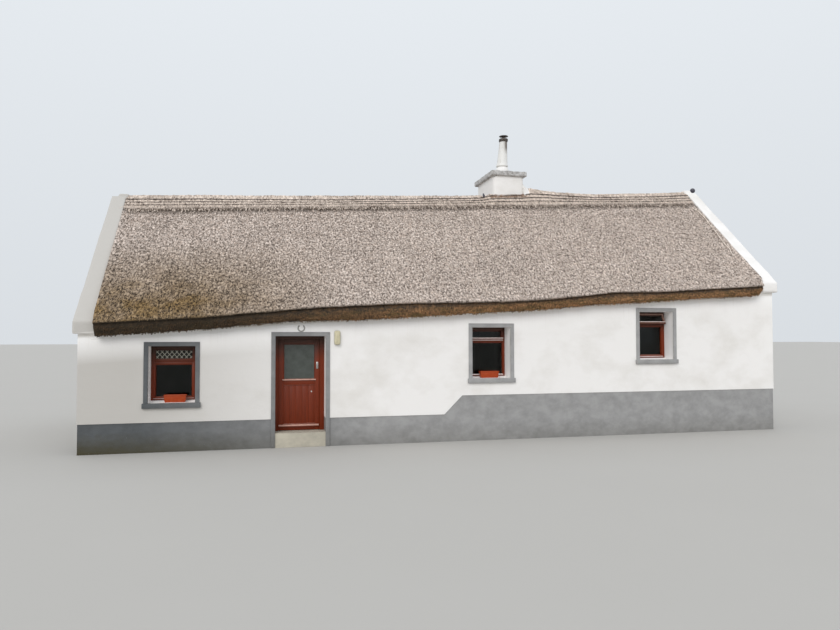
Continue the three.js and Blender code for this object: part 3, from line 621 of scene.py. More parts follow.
class COTTAGE_OT_ridge(bpy.types.Operator):
    """Lays the block ridge with its rods, pins and frayed foot."""
    bl_idname = "cottage.ridge"
    bl_label = "Lay ridge"

    def execute(self, context):
        roof = context.scene.cottage_roof
        grid = self.skin()
        piece = sweep("ridge_cap", grid["rings"], grid["uv"])
        complete(piece, "ridge_straw", "block_ridge", paint=ridge_straw("ridge_straw", roof), smooth=60)
        hazel = hazel_rod("hazel_rod", roof.rod)
        straw_paint = loose_straw("ridge_straw_ends", roof.ridge_dark, roof.ridge_pale)
        fringe_paint = loose_straw("fringe_straw", roof.dark, roof.ridge_pale)
        for side, label in SIDES.items():
            for number, place in enumerate(LIGATURES):
                self.rod(grid, side, f"{label}_{number + 1}", place, number, hazel)
            self.bands(grid, side, roof.ridge_straws, straw_paint)
            self.frayed_foot(grid, side, roof.fringe, fringe_paint)
        return {"FINISHED"}

    def skin(self):
        """The cap's rings, pillowed between its ligatures and frayed along its foot."""
        half = spread([RIDGE_FOOT, *RIDGE_SKIN], RIDGE_GRID)
        top = len(half) - 1
        mirror = half[:-1][::-1].copy()
        mirror[:, 0] = 2 * HALF_DEPTH - mirror[:, 0]
        section = np.concatenate([half, mirror])
        girth = girth_of(section)
        from_top = np.abs(girth - girth[top])
        along = stations("block_ridge", 0.03)
        across, down = np.broadcast_arrays(along, girth[None, :])
        relief = self.pillows(across, down, from_top)
        fray = np.clip((from_top - 0.46) / 0.1, 0, 1)[None, :] * 0.020
        slip = fray * field(across, down, (0.05, 3.0), 34.0) * np.sign(girth - girth[top])[None, :]
        clear_of_top = np.clip((np.abs(section[:, 0] - HALF_DEPTH) - 0.05) / 0.08, 0, 1)
        before = (section[:, 0] < HALF_DEPTH) * clear_of_top
        shape = eased(along, RIDGE_TOP) * (1 - before) + eased(along, RIDGE_FRONT) * before
        normal = outward(section)
        tangent = np.stack([-normal[:, 1], normal[:, 0]], axis=1)
        deep = section[None, :, 0] + relief * normal[None, :, 0] + slip * tangent[None, :, 0]
        height = section[None, :, 1] + section[None, :, 2] * along + section[None, :, 3] * shape
        height = height + relief * normal[None, :, 1] + slip * tangent[None, :, 1]
        rings = in_frame(np.broadcast_to(along, deep.shape), deep, height, 1)
        facing = np.stack([np.zeros(len(normal)), normal[:, 0], normal[:, 1]], axis=1)
        return {"rings": rings, "uv": np.stack([across, down], axis=-1), "from_top": from_top, "top": top,
                "normal": facing, "along": along[:, 0]}

    def pillows(self, across, down, from_top):
        """How far the straw swells between the ties that pull it in."""
        ties = [-LIGATURES[0], *LIGATURES, RIDGE_LIP]
        share = np.interp(from_top, ties, range(len(ties))) % 1.0
        pillow = 0.024 * np.sqrt(np.clip(np.sin(np.pi * share), 0, 1)) - 0.004
        pillow = np.where(from_top > RIDGE_LIP, 0, pillow)
        puff = 1 + 0.5 * field(across, down, (0.12, 0.4), 31.0)
        relief = pillow[None, :] * puff + 0.010 * field(across, down, (0.06, 0.12), 32.0)
        return relief + 0.012 * field(across, down, (0.9, 0.9), 33.0)

    def column(self, grid, side, place):
        """The ring column that lies at a slope distance from the top, on the front or the rear."""
        top = grid["top"]
        if side > 0:
            return top - int(np.argmin(np.abs(grid["from_top"][:top + 1][::-1] - place)))
        return top + int(np.argmin(np.abs(grid["from_top"][top:] - place)))

    def rod(self, grid, side, label, place, number, paint):
        """A hazel rod pinned along the straw."""
        column = self.column(grid, side, place)
        facing = grid["normal"][column]
        path = grid["rings"][::2, column] + 0.006 * facing
        wander = field(grid["along"][::2], np.zeros(len(path)), (0.5, 1), 40.0 + number + 5 * side)
        path = path + np.stack([0 * wander, -side * 0.5 * wander, 0.4 * wander], axis=1) * 0.012
        rod = sweep(f"ridge_rod_{label}", path[:, None, :] + hoop(0.009, 6, "x")[None, :, :])
        complete(rod, "ridge_straw", paint=paint, smooth=50)
        self.pins(label, path[3 + 2 * number:-3:8], facing, side, paint)

    def pins(self, label, places, facing, side, paint):
        """Hairpins over a rod at its places, each with two leaning legs three points long."""
        down = np.array([0, -side * 0.74, -0.67])
        across = np.array([0.004, 0, 0])
        ring = np.stack([-across, across, 0.006 * facing])
        legs = []
        for lean in (-0.35, 0.35):
            bend = np.array([lean * 0.05, 0, 0])
            arch = [places - 0.035 * down + bend - 0.02 * facing, places + 0.013 * facing,
                    places + 0.035 * down - bend - 0.02 * facing]
            legs.append(np.stack([point[:, None, :] + ring[None, :, :] for point in arch], axis=1))
        legs = np.concatenate(legs)
        index = np.arange(9).reshape(3, 3)
        faces = [[2, 1, 0], [6, 7, 8]]
        for here, ahead in zip(index, index[1:]):
            faces += [[here[m], here[m - 2], ahead[m - 2], ahead[m]] for m in range(3)]
        every = [[int(v) + index.size * leg for v in face] for leg in range(len(legs)) for face in faces]
        piece = from_arrays(f"ridge_pins_{label}", legs, every)
        complete(face_outwards(piece), "ridge_straw", paint=paint)

    def bands(self, grid, side, count, paint):
        """Loose straw on the pillows between the ties."""
        rng = np.random.default_rng(51 + side)
        edges = np.array([0.02, *LIGATURES, RIDGE_LIP - 0.03])
        band = rng.integers(0, len(edges) - 1, count)
        low, high = edges[band] + 0.015, edges[band + 1] - 0.05
        places = low + rng.random(count) * np.maximum(high - low, 0.005)
        steps = 112
        stops = np.linspace(0, RIDGE_LIP, steps + 1)
        columns = np.array([self.column(grid, side, stop) for stop in stops])
        column = columns[(places / RIDGE_LIP * steps).astype(int)]
        self.straws("ridge_straws", grid, side, column, paint, rng, rise=(0.02, 0.16), splay=0.22,
                    length=(0.04, 0.07), width=(0.007, 0.018), sunk=0.003)

    def frayed_foot(self, grid, side, count, paint):
        """Splayed straw that hangs past the foot of the cap."""
        rng = np.random.default_rng(21 + side)
        column = np.full(count, self.column(grid, side, FRINGE))
        self.straws("ridge_fringe", grid, side, column, paint, rng, rise=(-0.10, 0.14), splay=0.36,
                    length=(0.08, 0.24), width=(0.008, 0.020), sunk=0.004, slide=(-0.12, 0.04))

    def straws(self, name, grid, side, column, paint, rng, rise, splay, length, width, sunk, slide=None):
        """Straws rooted on the cap, one at each ring column given, slid along it if need be."""
        count = len(column)
        row = rng.integers(1, len(grid["along"]) - 1, count)
        roots = grid["rings"][row, column]
        down = units(grid["rings"][row, column - 2 * side] - roots)
        facing = grid["normal"][column]
        if slide:
            roots = roots + down * rng.uniform(*slide, count)[:, None]
        roots[:, 0] += rng.uniform(-0.015, 0.015, count)
        heading = laid(down, facing, rise, splay, rng)
        length, width = rng.uniform(*length, count), rng.uniform(*width, count)
        loose_straws(f"{name}_{SIDES[side]}", roots - sunk * facing, heading, facing, length, width,
                     paint, "ridge_straw", rng)


# Masonry
class COTTAGE_OT_masonry(bpy.types.Operator):
    """Paints the walls, plinths and surrounds, and finishes the floor and roof timbers."""
    bl_idname = "cottage.masonry"
    bl_label = "Paint masonry"

    def execute(self, context):
        walls = context.scene.cottage_walls
        white = masonry_paint("white_masonry_paint", walls)
        grey = trim_paint("grey_masonry_paint", walls)
        paints = {"limewash": white, "grey_paint": grey, "concrete": floated_concrete("floated_concrete"),
                  "roof_timber": sawn_timber("sawn_timber")}
        for part in frame["record"]["subparts"]:
            if part["material_slot"] in paints:
                frame["nodes"][part["node"]].material_slots[0].material = paints[part["material_slot"]]
        for side in ("left", "right"):
            self.coping(side, white)
        self.daub(white)
        for part in frame["record"]["subparts"]:
            node = part["node"]
            if node.endswith("_surround"):
                band = ease(whole_copy(node, node + "_plastered"), walls.arris)
                complete(band, "grey_paint", node, paint=grey, smooth=35)
        return {"FINISHED"}

    def coping(self, side, paint):
        """Gable coping with its kneelers carried in to the straw, and mortar on its apex."""
        node = f"{side}_gable_coping"
        low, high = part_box(node)
        inner, into = (low.x, -1) if side == "right" else (high.x, 1)
        foot, tip = low.z, high.z
        parts = [whole_copy(node, node)]
        for vertex in parts[0].data.vertices:
            if abs(vertex.co.x - (inner - into * 0.4)) < 0.01:
                vertex.co.x += into * (0.02 + 0.055 * (vertex.co.z - foot) / (tip - foot))
            if vertex.co.z > tip - 0.05:
                vertex.co.z -= 0.07
        corbels = [(0.057, high.y, foot, foot + 0.243),
                   (0.26, HALF_DEPTH + 0.006, foot - 0.13, foot + 0.01)]
        for face in (-1, 1):
            for reach, out, bottom, top in corbels:
                parts.append(block("kneeler", (inner + into * reach, face * out, bottom),
                                   (inner - into * 0.08, face * (HALF_DEPTH - 0.12), top)))
        parts.append(block("apex", (inner + into * 0.055, -0.09, tip - 0.16),
                           (inner - into * 0.17, 0.09, tip - 0.004)))
        coping = worn(join(f"{side}_coping_plastered", parts), 0.024, 0.012, 0.35)
        complete(coping, "limewash", node, paint=paint, smooth=50)

    def daub(self, paint):
        """Limewashed daub between the wall head and the straw where the eave's foot lifts off it."""
        along = np.linspace(0.32, 15.58, 300)
        head = WALL_HEAD[0] + WALL_HEAD[1] * along
        lift = np.maximum(eased(along, FOOT_LIFT), 0) + 0.010 * field(along, along * 0, (0.15, 1), 61.0)
        corners = [(-0.003, -0.02), (0.09, -0.02), (0.09, lift + 0.01), (-0.003, lift + 0.01)]
        for side, label in SIDES.items():
            rings = [in_frame(along, np.full(len(along), deep), head + rise, side)
                     for deep, rise in corners]
            complete(sweep(f"wall_head_daub_{label}", np.stack(rings, axis=1)), "limewash", paint=paint,
                     smooth=40)


class COTTAGE_OT_chimney(bpy.types.Operator):
    """Finishes the chimney: plastered stack, cast cap, mortar at its foot, pot and rain cap."""
    bl_idname = "cottage.chimney"
    bl_label = "Finish chimney"

    def execute(self, context):
        white = bpy.data.materials["white_masonry_paint"]
        self.stack(white)
        low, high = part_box("chimney_cap")
        bed = low.z + 0.140
        cap = worn(block("chimney_cap_cast", low, (high.x, high.y, bed)), 0.016, 0.026, 0.12)
        complete(cap, "cement", "chimney_cap", paint=weathered_cement("weathered_cement"), smooth=50)
        self.fillet(white)
        self.slate(low)
        self.wet_straw(context.scene.cottage_roof)
        self.flue(white, bed)
        return {"FINISHED"}

    def stack(self, paint):
        """The stack with its four upright corners plastered round."""
        stack = whole_copy("chimney_stack", "chimney_stack_plastered")
        work(stack, "EDGE", self.upright, bpy.ops.mesh.bevel, offset=0.075, segments=5)
        complete(worn(stack, 0.030, 0.014, 0.4), "limewash", "chimney_stack", paint=paint, smooth=50)

    def upright(self, edge):
        run = edge.verts[0].co - edge.verts[1].co
        return abs(run.z) > 0.5 and abs(run.x) + abs(run.y) < 0.01

    def slate(self, corner):
        """Tip of a slate bedded in the mortar at the stack's front left corner."""
        place = Vector((corner.x - 0.195, corner.y + 0.07, 0))
        place.z = surface(place.x, place.y, skins_of("ridge_cap"))
        slate = block("slate_tip", (-0.055, -0.006, -0.12), (0.085, 0.006, 0.085))
        work(slate, "FACE", lambda f: f.normal.z > 0.9, bpy.ops.transform.resize, value=(0.2, 1, 1),
             center_override=(-0.05, 0, 0.085))
        slate.data.transform(Matrix.Translation(place))
        complete(ease(slate, 0.002), "dark_stone", paint=dark_stone("roofing_slate"), smooth=35)

    def wet_straw(self, roof):
        """Rusty straw ends laid ragged along the front of the stack's foot."""
        rng = np.random.default_rng(83)
        low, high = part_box("chimney_stack")
        count = roof.stack_straws
        x = rng.uniform(low.x - 0.05, high.x + 0.04, count)
        y = low.y - rng.uniform(0.030, 0.065, count)
        skins = skins_of("ridge_cap")
        z = [surface(a, b, skins) for a, b in zip(x, y)]
        facing = np.tile([0, -0.6, 0.8], (count, 1))
        along = rng.choice((-1.0, 1.0), count), rng.normal(0, 0.5, count), rng.normal(0, 0.25, count)
        length, width = rng.uniform(0.03, 0.10, count), rng.uniform(0.008, 0.018, count)
        paint = loose_straw("wet_straw", linear("#2b2018"), linear("#c79f82"))
        loose_straws("stack_foot_straws", np.stack([x, y, z], axis=1), units(np.stack(along, axis=1)),
                     facing, length, width, paint, "ridge_straw", rng)

    def fillet(self, paint):
        """Mortar flared over the straw all round the foot of the stack."""
        low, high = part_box("chimney_stack")
        skins = skins_of("thatch_coat_front", "thatch_coat_rear", "ridge_cap")
        corners = [Vector((x, y, 0)) for x, y in
                   ((low.x, low.y), (high.x, low.y), (high.x, high.y), (low.x, high.y))]
        rings = []
        for start, end in zip(corners, corners[1:] + corners[:1]):
            run = end - start
            out = Vector((run.y, -run.x, 0)) / run.length
            for share in np.linspace(0, 1, round(run.length / 0.045)):
                rings.append(self.mortar(start + run * share, out, skins))
        piece = sweep("chimney_fillet", np.array(rings), closed=True)
        complete(piece, "limewash", paint=paint, smooth=50)

    def mortar(self, place, out, skins):
        """One section of the mortar at a point of the stack's foot. It is heaviest on the right."""
        wobble = 0.012 * noise.noise(place * 9)
        heavy = max(0.0, out.x)
        reach, rise = 0.030 + 0.14 * heavy + wobble, 0.012 + 0.16 * heavy + wobble
        up = Vector((0, 0, 1))
        near, toe = place + out * 0.02, place + out * reach
        base, edge = place + up * surface(near.x, near.y, skins), toe + up * surface(toe.x, toe.y, skins)
        return [base - out * 0.03 - up * 0.12, edge - up * 0.05, edge + up * 0.006,
                base + out * (0.40 * reach) + up * (0.40 * rise), base + out * 0.008 + up * rise,
                base - out * 0.03 + up * rise]

    def flue(self, white, bed):
        """Flaunching, leaning pot, its metal ring and the rain cap on its stem."""
        low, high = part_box("flue_pot")
        centre = (low + high) / 2
        foot, top = low.z, high.z
        mound = [(0, bed - 0.02), (0.235, bed - 0.02), (0.230, bed + 0.01), (0.205, bed + 0.06),
                 (0.180, foot - 0.07), (0.160, foot - 0.012), (0.150, foot + 0.004), (0, foot + 0.004)]
        mound = spun("flue_flaunching", mound, (centre.x - 0.02, centre.y), steps=32)
        complete(worn(mound, 0.016, 0.014, 0.1), "limewash", paint=white, smooth=50)
        pot = spun("flue_pot_painted", self.pot_profile(foot, top), centre)
        self.lean(pot, foot, top)
        complete(pot, "flue_paint", "flue_pot", paint=flue_paint("white_paint_on_clay"), smooth=50)
        ring = [(0, -0.095), (0.110, -0.095), (0.122, -0.078), (0.128, -0.055), (0.121, -0.050),
                (0.128, -0.044), (0.128, -0.012), (0.118, -0.002), (0.112, -0.002), (0.108, -0.05),
                (0, -0.05)]
        ring = spun("flue_ring", [(radius, top + rise) for radius, rise in ring], centre)
        dull = dull_sheet("galvanised_sheet")
        self.lean(ring, foot, top)
        complete(ring, "galvanised", paint=dull, smooth=40)
        under, crown = (corner.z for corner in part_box("flue_cowl"))
        hat = [(0, -0.05), (0.034, -0.05), (0.034, 0.060), (0.110, 0.066), (0.128, 0.070), (0.128, 0.076),
               (0.118, 0.082), (0.070, 0.096), (0.030, 0.106), (0, crown - under)]
        cowl = spun("flue_rain_cap", [(radius, under + rise) for radius, rise in hat], centre)
        self.lean(cowl, foot, top)
        complete(cowl, "galvanised", "flue_cowl", paint=dull, smooth=40)

    def pot_profile(self, foot, top):
        """A collar, then a shaft that tapers in towards the metal ring."""
        tall = top - foot - 0.095
        collar = [(0, 0), (0.136, 0), (0.138, 0.022), (0.168, 0.030), (0.168, 0.06), (0.160, 0.075)]
        profile = [(radius, foot + rise) for radius, rise in collar]
        for share in np.linspace(0, 1, 13):
            profile.append((0.156 - 0.048 * share ** 0.75, foot + 0.085 + (tall - 0.085) * share))
        return profile + [(0.106, top - 0.08), (0, top - 0.08)]

    def lean(self, piece, foot, top):
        """The flue leans a little to the right."""
        lean = 0.05 / (top - foot)
        slope = Matrix.Identity(4)
        slope[0][2], slope[0][3] = lean, -lean * (foot + top) / 2
        piece.data.transform(slope)


# Joinery
def members(name, boxes, edge, paints):
    """Bars between pairs of corners, arrises eased, with the grain along each one's length."""
    bars = []
    for low, high in boxes:
        bar = block(name, low, high)
        size = Vector(high) - Vector(low)
        bar.data.materials.append(paints["upright" if size.z > max(size.x, size.y) else "level"])
        bars.append(ease(bar, min(edge, min(size) * 0.4)))
    return join(name, bars)


def ledge(name, low, high, fall, paint):
    """A bar whose top slopes down to the front, as a drip ledge."""
    bar = block(name, low, high)
    work(bar, "EDGE", lambda e: all(v.co.z > high[2] - 1e-4 and v.co.y < low[1] + 1e-4 for v in e.verts),
         bpy.ops.transform.translate, value=(0, 0, -fall))
    bar.data.materials.append(paint)
    return ease(bar, DRIP_EDGE)


def light(left, foot, right, head, near, far, width):
    """Corners of the four members round a light."""
    inner, outer = left + width, right - width
    return [((left, near, foot), (inner, far, head)), ((outer, near, foot), (right, far, head)),
            ((inner, near, head - width), (outer, far, head)),
            ((inner, near, foot), (outer, far, foot + width))]


def stood(piece, place, turned=False):
    """Moves a piece made at the origin to its wall. At the rear it is turned to face outwards."""
    piece.data.transform(Matrix.Translation(place) @ Matrix.Rotation(math.pi if turned else 0, 4, "Z"))
    return piece


class COTTAGE_OT_windows(bpy.types.Operator):
    """Makes the five windows: fixed frame, vent, casement or fixed light, beads and sill mortar."""
    bl_idname = "cottage.windows"
    bl_label = "Make windows"

    kinds = {"front_window_1": "leaded", "front_window_2": "fixed", "front_window_3": "ajar",
             "rear_window_1": "plain", "rear_window_2": "plain"}
    head_rail = 0.275
    transom_foot = {"ajar": 0.320}
    vent_lap = {"leaded": 0.034, "ajar": 0.038}
    sash_face, sash_back = -0.010, 0.034

    def execute(self, context):
        self.make = context.scene.cottage_joinery
        self.paints = {
            "upright": stained_timber("stained_timber_upright", self.make, upright=True),
            "level": stained_timber("stained_timber_level", self.make),
            # Window ledges are palest: partly chalking of the stain, partly painted sheen.
            "ledge": stained_timber("sheen_and_chalk_timber_ledge", self.make, shed=-0.35, dust=self.make.chalky_and_sheen)}
        self.glass = float_glass("float_glass")
        self.lead = lead_came("lead_came")
        self.white = bpy.data.materials["white_masonry_paint"]
        for name, kind in self.kinds.items():
            self.window(name, kind)
            frame["nodes"][name + "_glass"].material_slots[0].material = self.glass
        return {"FINISHED"}

    def window(self, name, kind):
        """One window, made at the origin with its frame's face at nought, then stood in its wall."""
        low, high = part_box(name + "_frame")
        rear = name.startswith("rear")
        place = Vector(((low.x + high.x) / 2, high.y if rear else low.y, low.z))
        half, tall, thick = (high.x - low.x) / 2, high.z - low.z, high.y - low.y
        jamb, sash = self.make.jamb, self.make.sash
        transom = (tall - self.transom_foot.get(kind, 0.345), tall - self.head_rail)
        inner = half - jamb
        boxes = [((-half, 0, 0), (-inner, thick, tall)), ((inner, 0, 0), (half, thick, tall)),
                 ((-inner, 0, tall - jamb), (inner, thick, tall)), ((-inner, 0, 0), (inner, thick, 0.060)),
                 ((-inner, 0, transom[0]), (inner, thick, transom[1]))]
        glazed = (-inner, 0.058, inner, transom[0])
        if kind != "fixed":
            left, foot, right, head = -inner - LAP, 0.050, inner + LAP, transom[0] + LAP
            boxes += light(left, foot, right, head, self.sash_face, self.sash_back, sash)
            glazed = (left + sash, foot + sash, right - sash, head - sash)
        boxes += light(*glazed, 0.012, thick - 0.002, 0.011)
        joinery = [members(name + "_joinery", boxes, self.make.arris, self.paints),
                   ledge(name, (-inner, -0.026, 0.052), (inner, 0.004, 0.080), 0.018, self.paints["ledge"])]
        if kind in ("fixed", "plain"):
            joinery.append(ledge(name, (-inner, -0.028, transom[1] - 0.024),
                                 (inner, 0.004, transom[1] + 0.002), 0.014, self.paints["ledge"]))
        joinery = stood(join(name + "_joinery", joinery), place, rear)
        complete(joinery, "joinery", name + "_frame", smooth=35)
        self.vent(name, kind, place, rear, inner, tall, transom)
        if kind == "leaded":
            self.leading(name, place, inner - sash + 0.006, tall)
        self.sill_mortar(name, place, rear, half)

    def vent(self, name, kind, place, rear, inner, tall, transom):
        """The top-hung vent: with a drip unless it is leaded, and ajar where the photo shows it so."""
        sash = self.make.sash
        left, right = -inner - LAP, inner + LAP
        foot = transom[1] - self.vent_lap.get(kind, LAP)
        head = tall - self.make.jamb + LAP
        boxes = light(left, foot, right, head, self.sash_face, self.sash_back, sash)
        boxes += light(left + sash, foot + sash, right - sash, head - sash, 0.008, 0.030, 0.009)
        parts = [members(name + "_vent", boxes, self.make.arris, self.paints)]
        if kind != "leaded":
            parts.append(ledge(name, (left + 0.004, -0.036, foot + 0.026),
                               (right - 0.004, -0.004, foot + 0.056), 0.014, self.paints["ledge"]))
        vent = join(name + "_vent", parts)
        if kind != "ajar":
            complete(stood(vent, place, rear), "joinery", smooth=35)
            return
        rebate = sash - 0.004
        pane = block(name, (left + rebate, 0.016, foot + rebate), (right - rebate, 0.022, head - rebate))
        hinge = Matrix.Translation((0, 0, head))
        swing = hinge @ Matrix.Rotation(-self.make.vent_open, 4, "X") @ hinge.inverted()
        for part in (vent, pane):
            part.data.transform(swing)
        complete(stood(vent, place, rear), "joinery", smooth=35)
        below = block(name, (-inner + 0.02, 0.0455, 0.06), (inner - 0.02, 0.0515, transom[0] + 0.02))
        panes = ease(join(name + "_panes", [pane, below]), 0.001, 1)
        complete(stood(panes, place, rear), "window_glass", name + "_glass", paint=self.glass)

    def leading(self, name, place, half, tall):
        """Wide lead strips in a diamond lattice on the face of the vent's pane."""
        wide, high = self.make.diamond
        foot, head = tall - 0.268, tall - 0.083
        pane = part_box(name + "_glass")[0].y - place.y
        steep = high / wide
        reach = (head - foot) / 2
        bars = []
        for lean in (-1, 1):
            for step in range(-8, 9):
                offset = step * high
                ends = sorted((lean * z - offset) / steep for z in (-reach, reach))
                x0, x1 = max(ends[0], -half), min(ends[1], half)
                if x1 - x0 < 0.012:
                    continue
                z0, z1 = (lean * (steep * x + offset) for x in (x0, x1))
                run = math.hypot(x1 - x0, z1 - z0) / 2
                bar = block(name, (-run, -0.0025, -0.0045), (run, 0.0025, 0.0045))
                centre = ((x0 + x1) / 2, pane - 0.0030 + 0.0008 * lean, (foot + head + z0 + z1) / 2)
                turn = Matrix.Rotation(-math.atan2(z1 - z0, x1 - x0), 4, "Y")
                bar.data.transform(Matrix.Translation(centre) @ turn)
                bars.append(ease(bar, 0.0012, 1))
        complete(stood(join(name + "_leading", bars), place), "steel", paint=self.lead, smooth=35)

    def sill_mortar(self, name, place, rear, half):
        """White mortar fillet between the flat sill and the frame."""
        rise, lip = 0.028, 0.003
        piece = block(name + "_sill_mortar", (-half, -0.092, -0.001), (half, 0.004, rise))
        work(piece, "EDGE", lambda e: all(v.co.z > 0.01 and v.co.y < -0.05 for v in e.verts),
             bpy.ops.transform.translate, value=(0, 0, lip - rise))
        complete(stood(ease(piece, 0.002), place, rear), "limewash", paint=self.white, smooth=35)


class COTTAGE_OT_door(bpy.types.Operator):
    """Makes the door: ledged leaf with boards and frosted light, its frame, ledges and ironwork."""
    bl_idname = "cottage.door"
    bl_label = "Make door"

    leaf_thick = 0.044
    boards = 5
    bead = 0.013
    hinge_feet = (0.520, 1.290, 2.060)

    def execute(self, context):
        make = context.scene.cottage_joinery
        paints = {way: bpy.data.materials["stained_timber_" + way] for way in ("upright", "level")}
        # The door's ledges are paler where they face the sky: partly bleaching, partly painted sheen.
        paints["ledge"] = stained_timber("stained_timber_ledge", make, shed=-0.35)
        bar_low, bar_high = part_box("door_weather_bar")
        face, back = bar_high.y, bar_high.y + self.leaf_thick
        panel = self.leaf(bar_low.x - 0.030, bar_high.x + 0.030, face, back, make.arris + 0.001, paints)
        drop = ((bar_low.x + 0.005, bar_low.y + 0.016, bar_low.z),
                (bar_high.x - 0.005, bar_high.y, bar_low.z + 0.022))
        bar = [ledge("door_weather_board", (bar_low.x, bar_low.y, bar_low.z + 0.020), bar_high, 0.010,
                     paints["ledge"]),
               members("drip", [drop], 0.002, paints)]
        complete(join("door_weather_board", bar), "weather_bar", "door_weather_bar", body="front_door",
                 smooth=35)
        frame["nodes"]["door_glass"].material_slots[0].material = frosted_glass("frosted_glass")
        door_frame = ease(whole_copy("door_frame", "door_frame_planed"), 0.003)
        complete(door_frame, "joinery", "door_frame", paint=paints["upright"], smooth=35)
        steel = satin_steel("satin_steel")
        self.pull(face, steel)
        self.keyhole_cover(face, panel, steel)
        return {"FINISHED"}

    def leaf(self, left, right, face, back, arris, paints):
        """Stiles, rails, boards, beads, the ledge under the light and the hinges' half on the leaf.
        Returns the right-hand side of its panel."""
        low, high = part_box("door_leaf")
        light_low, light_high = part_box("door_glass")
        foot, head, inner, outer = low.z, high.z, light_low.x, light_high.x
        panel_foot, panel_head = foot + 0.129, light_low.z - 0.119
        boxes = [((left, face, foot), (inner, back, head)), ((outer, face, foot), (right, back, head)),
                 ((inner, face, light_high.z), (outer, back, head)),
                 ((inner, face, panel_head), (outer, back, light_low.z)),
                 ((inner, face, foot), (outer, back, panel_foot))]
        edges = [inner + step * (outer - inner) / self.boards for step in range(self.boards + 1)]
        boxes += [((near, face + 0.012, panel_foot - 0.004), (far, back - 0.012, panel_head + 0.004))
                  for near, far in zip(edges, edges[1:])]
        parts = [members("door_leaf_boarded", boxes, arris, paints)]
        bead = self.bead
        for under, over in ((panel_foot, panel_head), (light_low.z, light_high.z)):
            for near, far in ((face + 0.002, face + 0.014), (back - 0.014, back - 0.002)):
                beads = [((inner, near, under), (inner + bead, far, over)),
                         ((outer - bead, near, under), (outer, far, over)),
                         ((inner, near, over - bead), (outer, far, over)),
                         ((inner, near, under), (outer, far, under + bead))]
                parts.append(members("bead", beads, 0.005, paints))
        parts.append(ledge("ledge", (inner - 0.026, face - 0.022, light_low.z - 0.024),
                           (outer + 0.020, face + 0.004, light_low.z + 0.008), 0.020, paints["ledge"]))
        parts += self.knuckles(left, back, paints["upright"])
        complete(join("door_leaf_boarded", parts), "joinery", "door_leaf", body="front_door", smooth=35)
        return outer

    def knuckles(self, left, back, paint):
        """The door's half of each hinge: a barrel on a plate."""
        tall = 0.040
        made = []
        for foot in self.hinge_feet:
            clear_selection()
            bpy.ops.mesh.primitive_cylinder_add(vertices=24, radius=0.008, depth=tall,
                                                location=(left - 0.002, back + 0.013, foot + tall / 2))
            barrel = bpy.context.object
            plate = block("plate", (left + 0.002, back - 0.001, foot),
                          (left + 0.032, back + 0.017, foot + tall))
            for part in (barrel, plate):
                settle(part).data.materials.append(paint)
                made.append(ease(part, 0.0015, 1))
        return made

    def pull(self, face, steel):
        """Bow-shaped pull on its plate."""
        low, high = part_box("door_handle")
        middle = (low.x + high.x) / 2
        bow = ease(whole_copy("door_handle", "door_pull"), 0.0055, 3)
        plate = block("plate", (middle - 0.022, face - 0.003, low.z - 0.014),
                      (middle + 0.022, face + 0.001, high.z + 0.014))
        bow.data.materials.clear()
        complete(join("door_pull", [bow, ease(plate, 0.0014)]), "steel", "door_handle", paint=steel,
                 body="front_door", smooth=40)

    def keyhole_cover(self, face, stile, steel):
        """Round cover dished towards its hole."""
        clear_selection()
        bpy.ops.mesh.primitive_cylinder_add(vertices=24, radius=0.016, depth=0.006,
                                            rotation=(math.pi / 2, 0, 0),
                                            location=(stile - 0.072, face + 0.0085, 1.127))
        cover = settle(bpy.context.object)
        cover.name = cover.data.name = "door_keyhole_cover"
        pick(cover, "FACE", lambda f: f.normal.y < -0.9)
        bpy.ops.mesh.inset(thickness=0.009)
        bpy.ops.transform.translate(value=(0, 0.003, 0))
        complete(ease(leave_edit(cover), 0.001, 1), "steel", paint=steel, body="front_door", smooth=40)


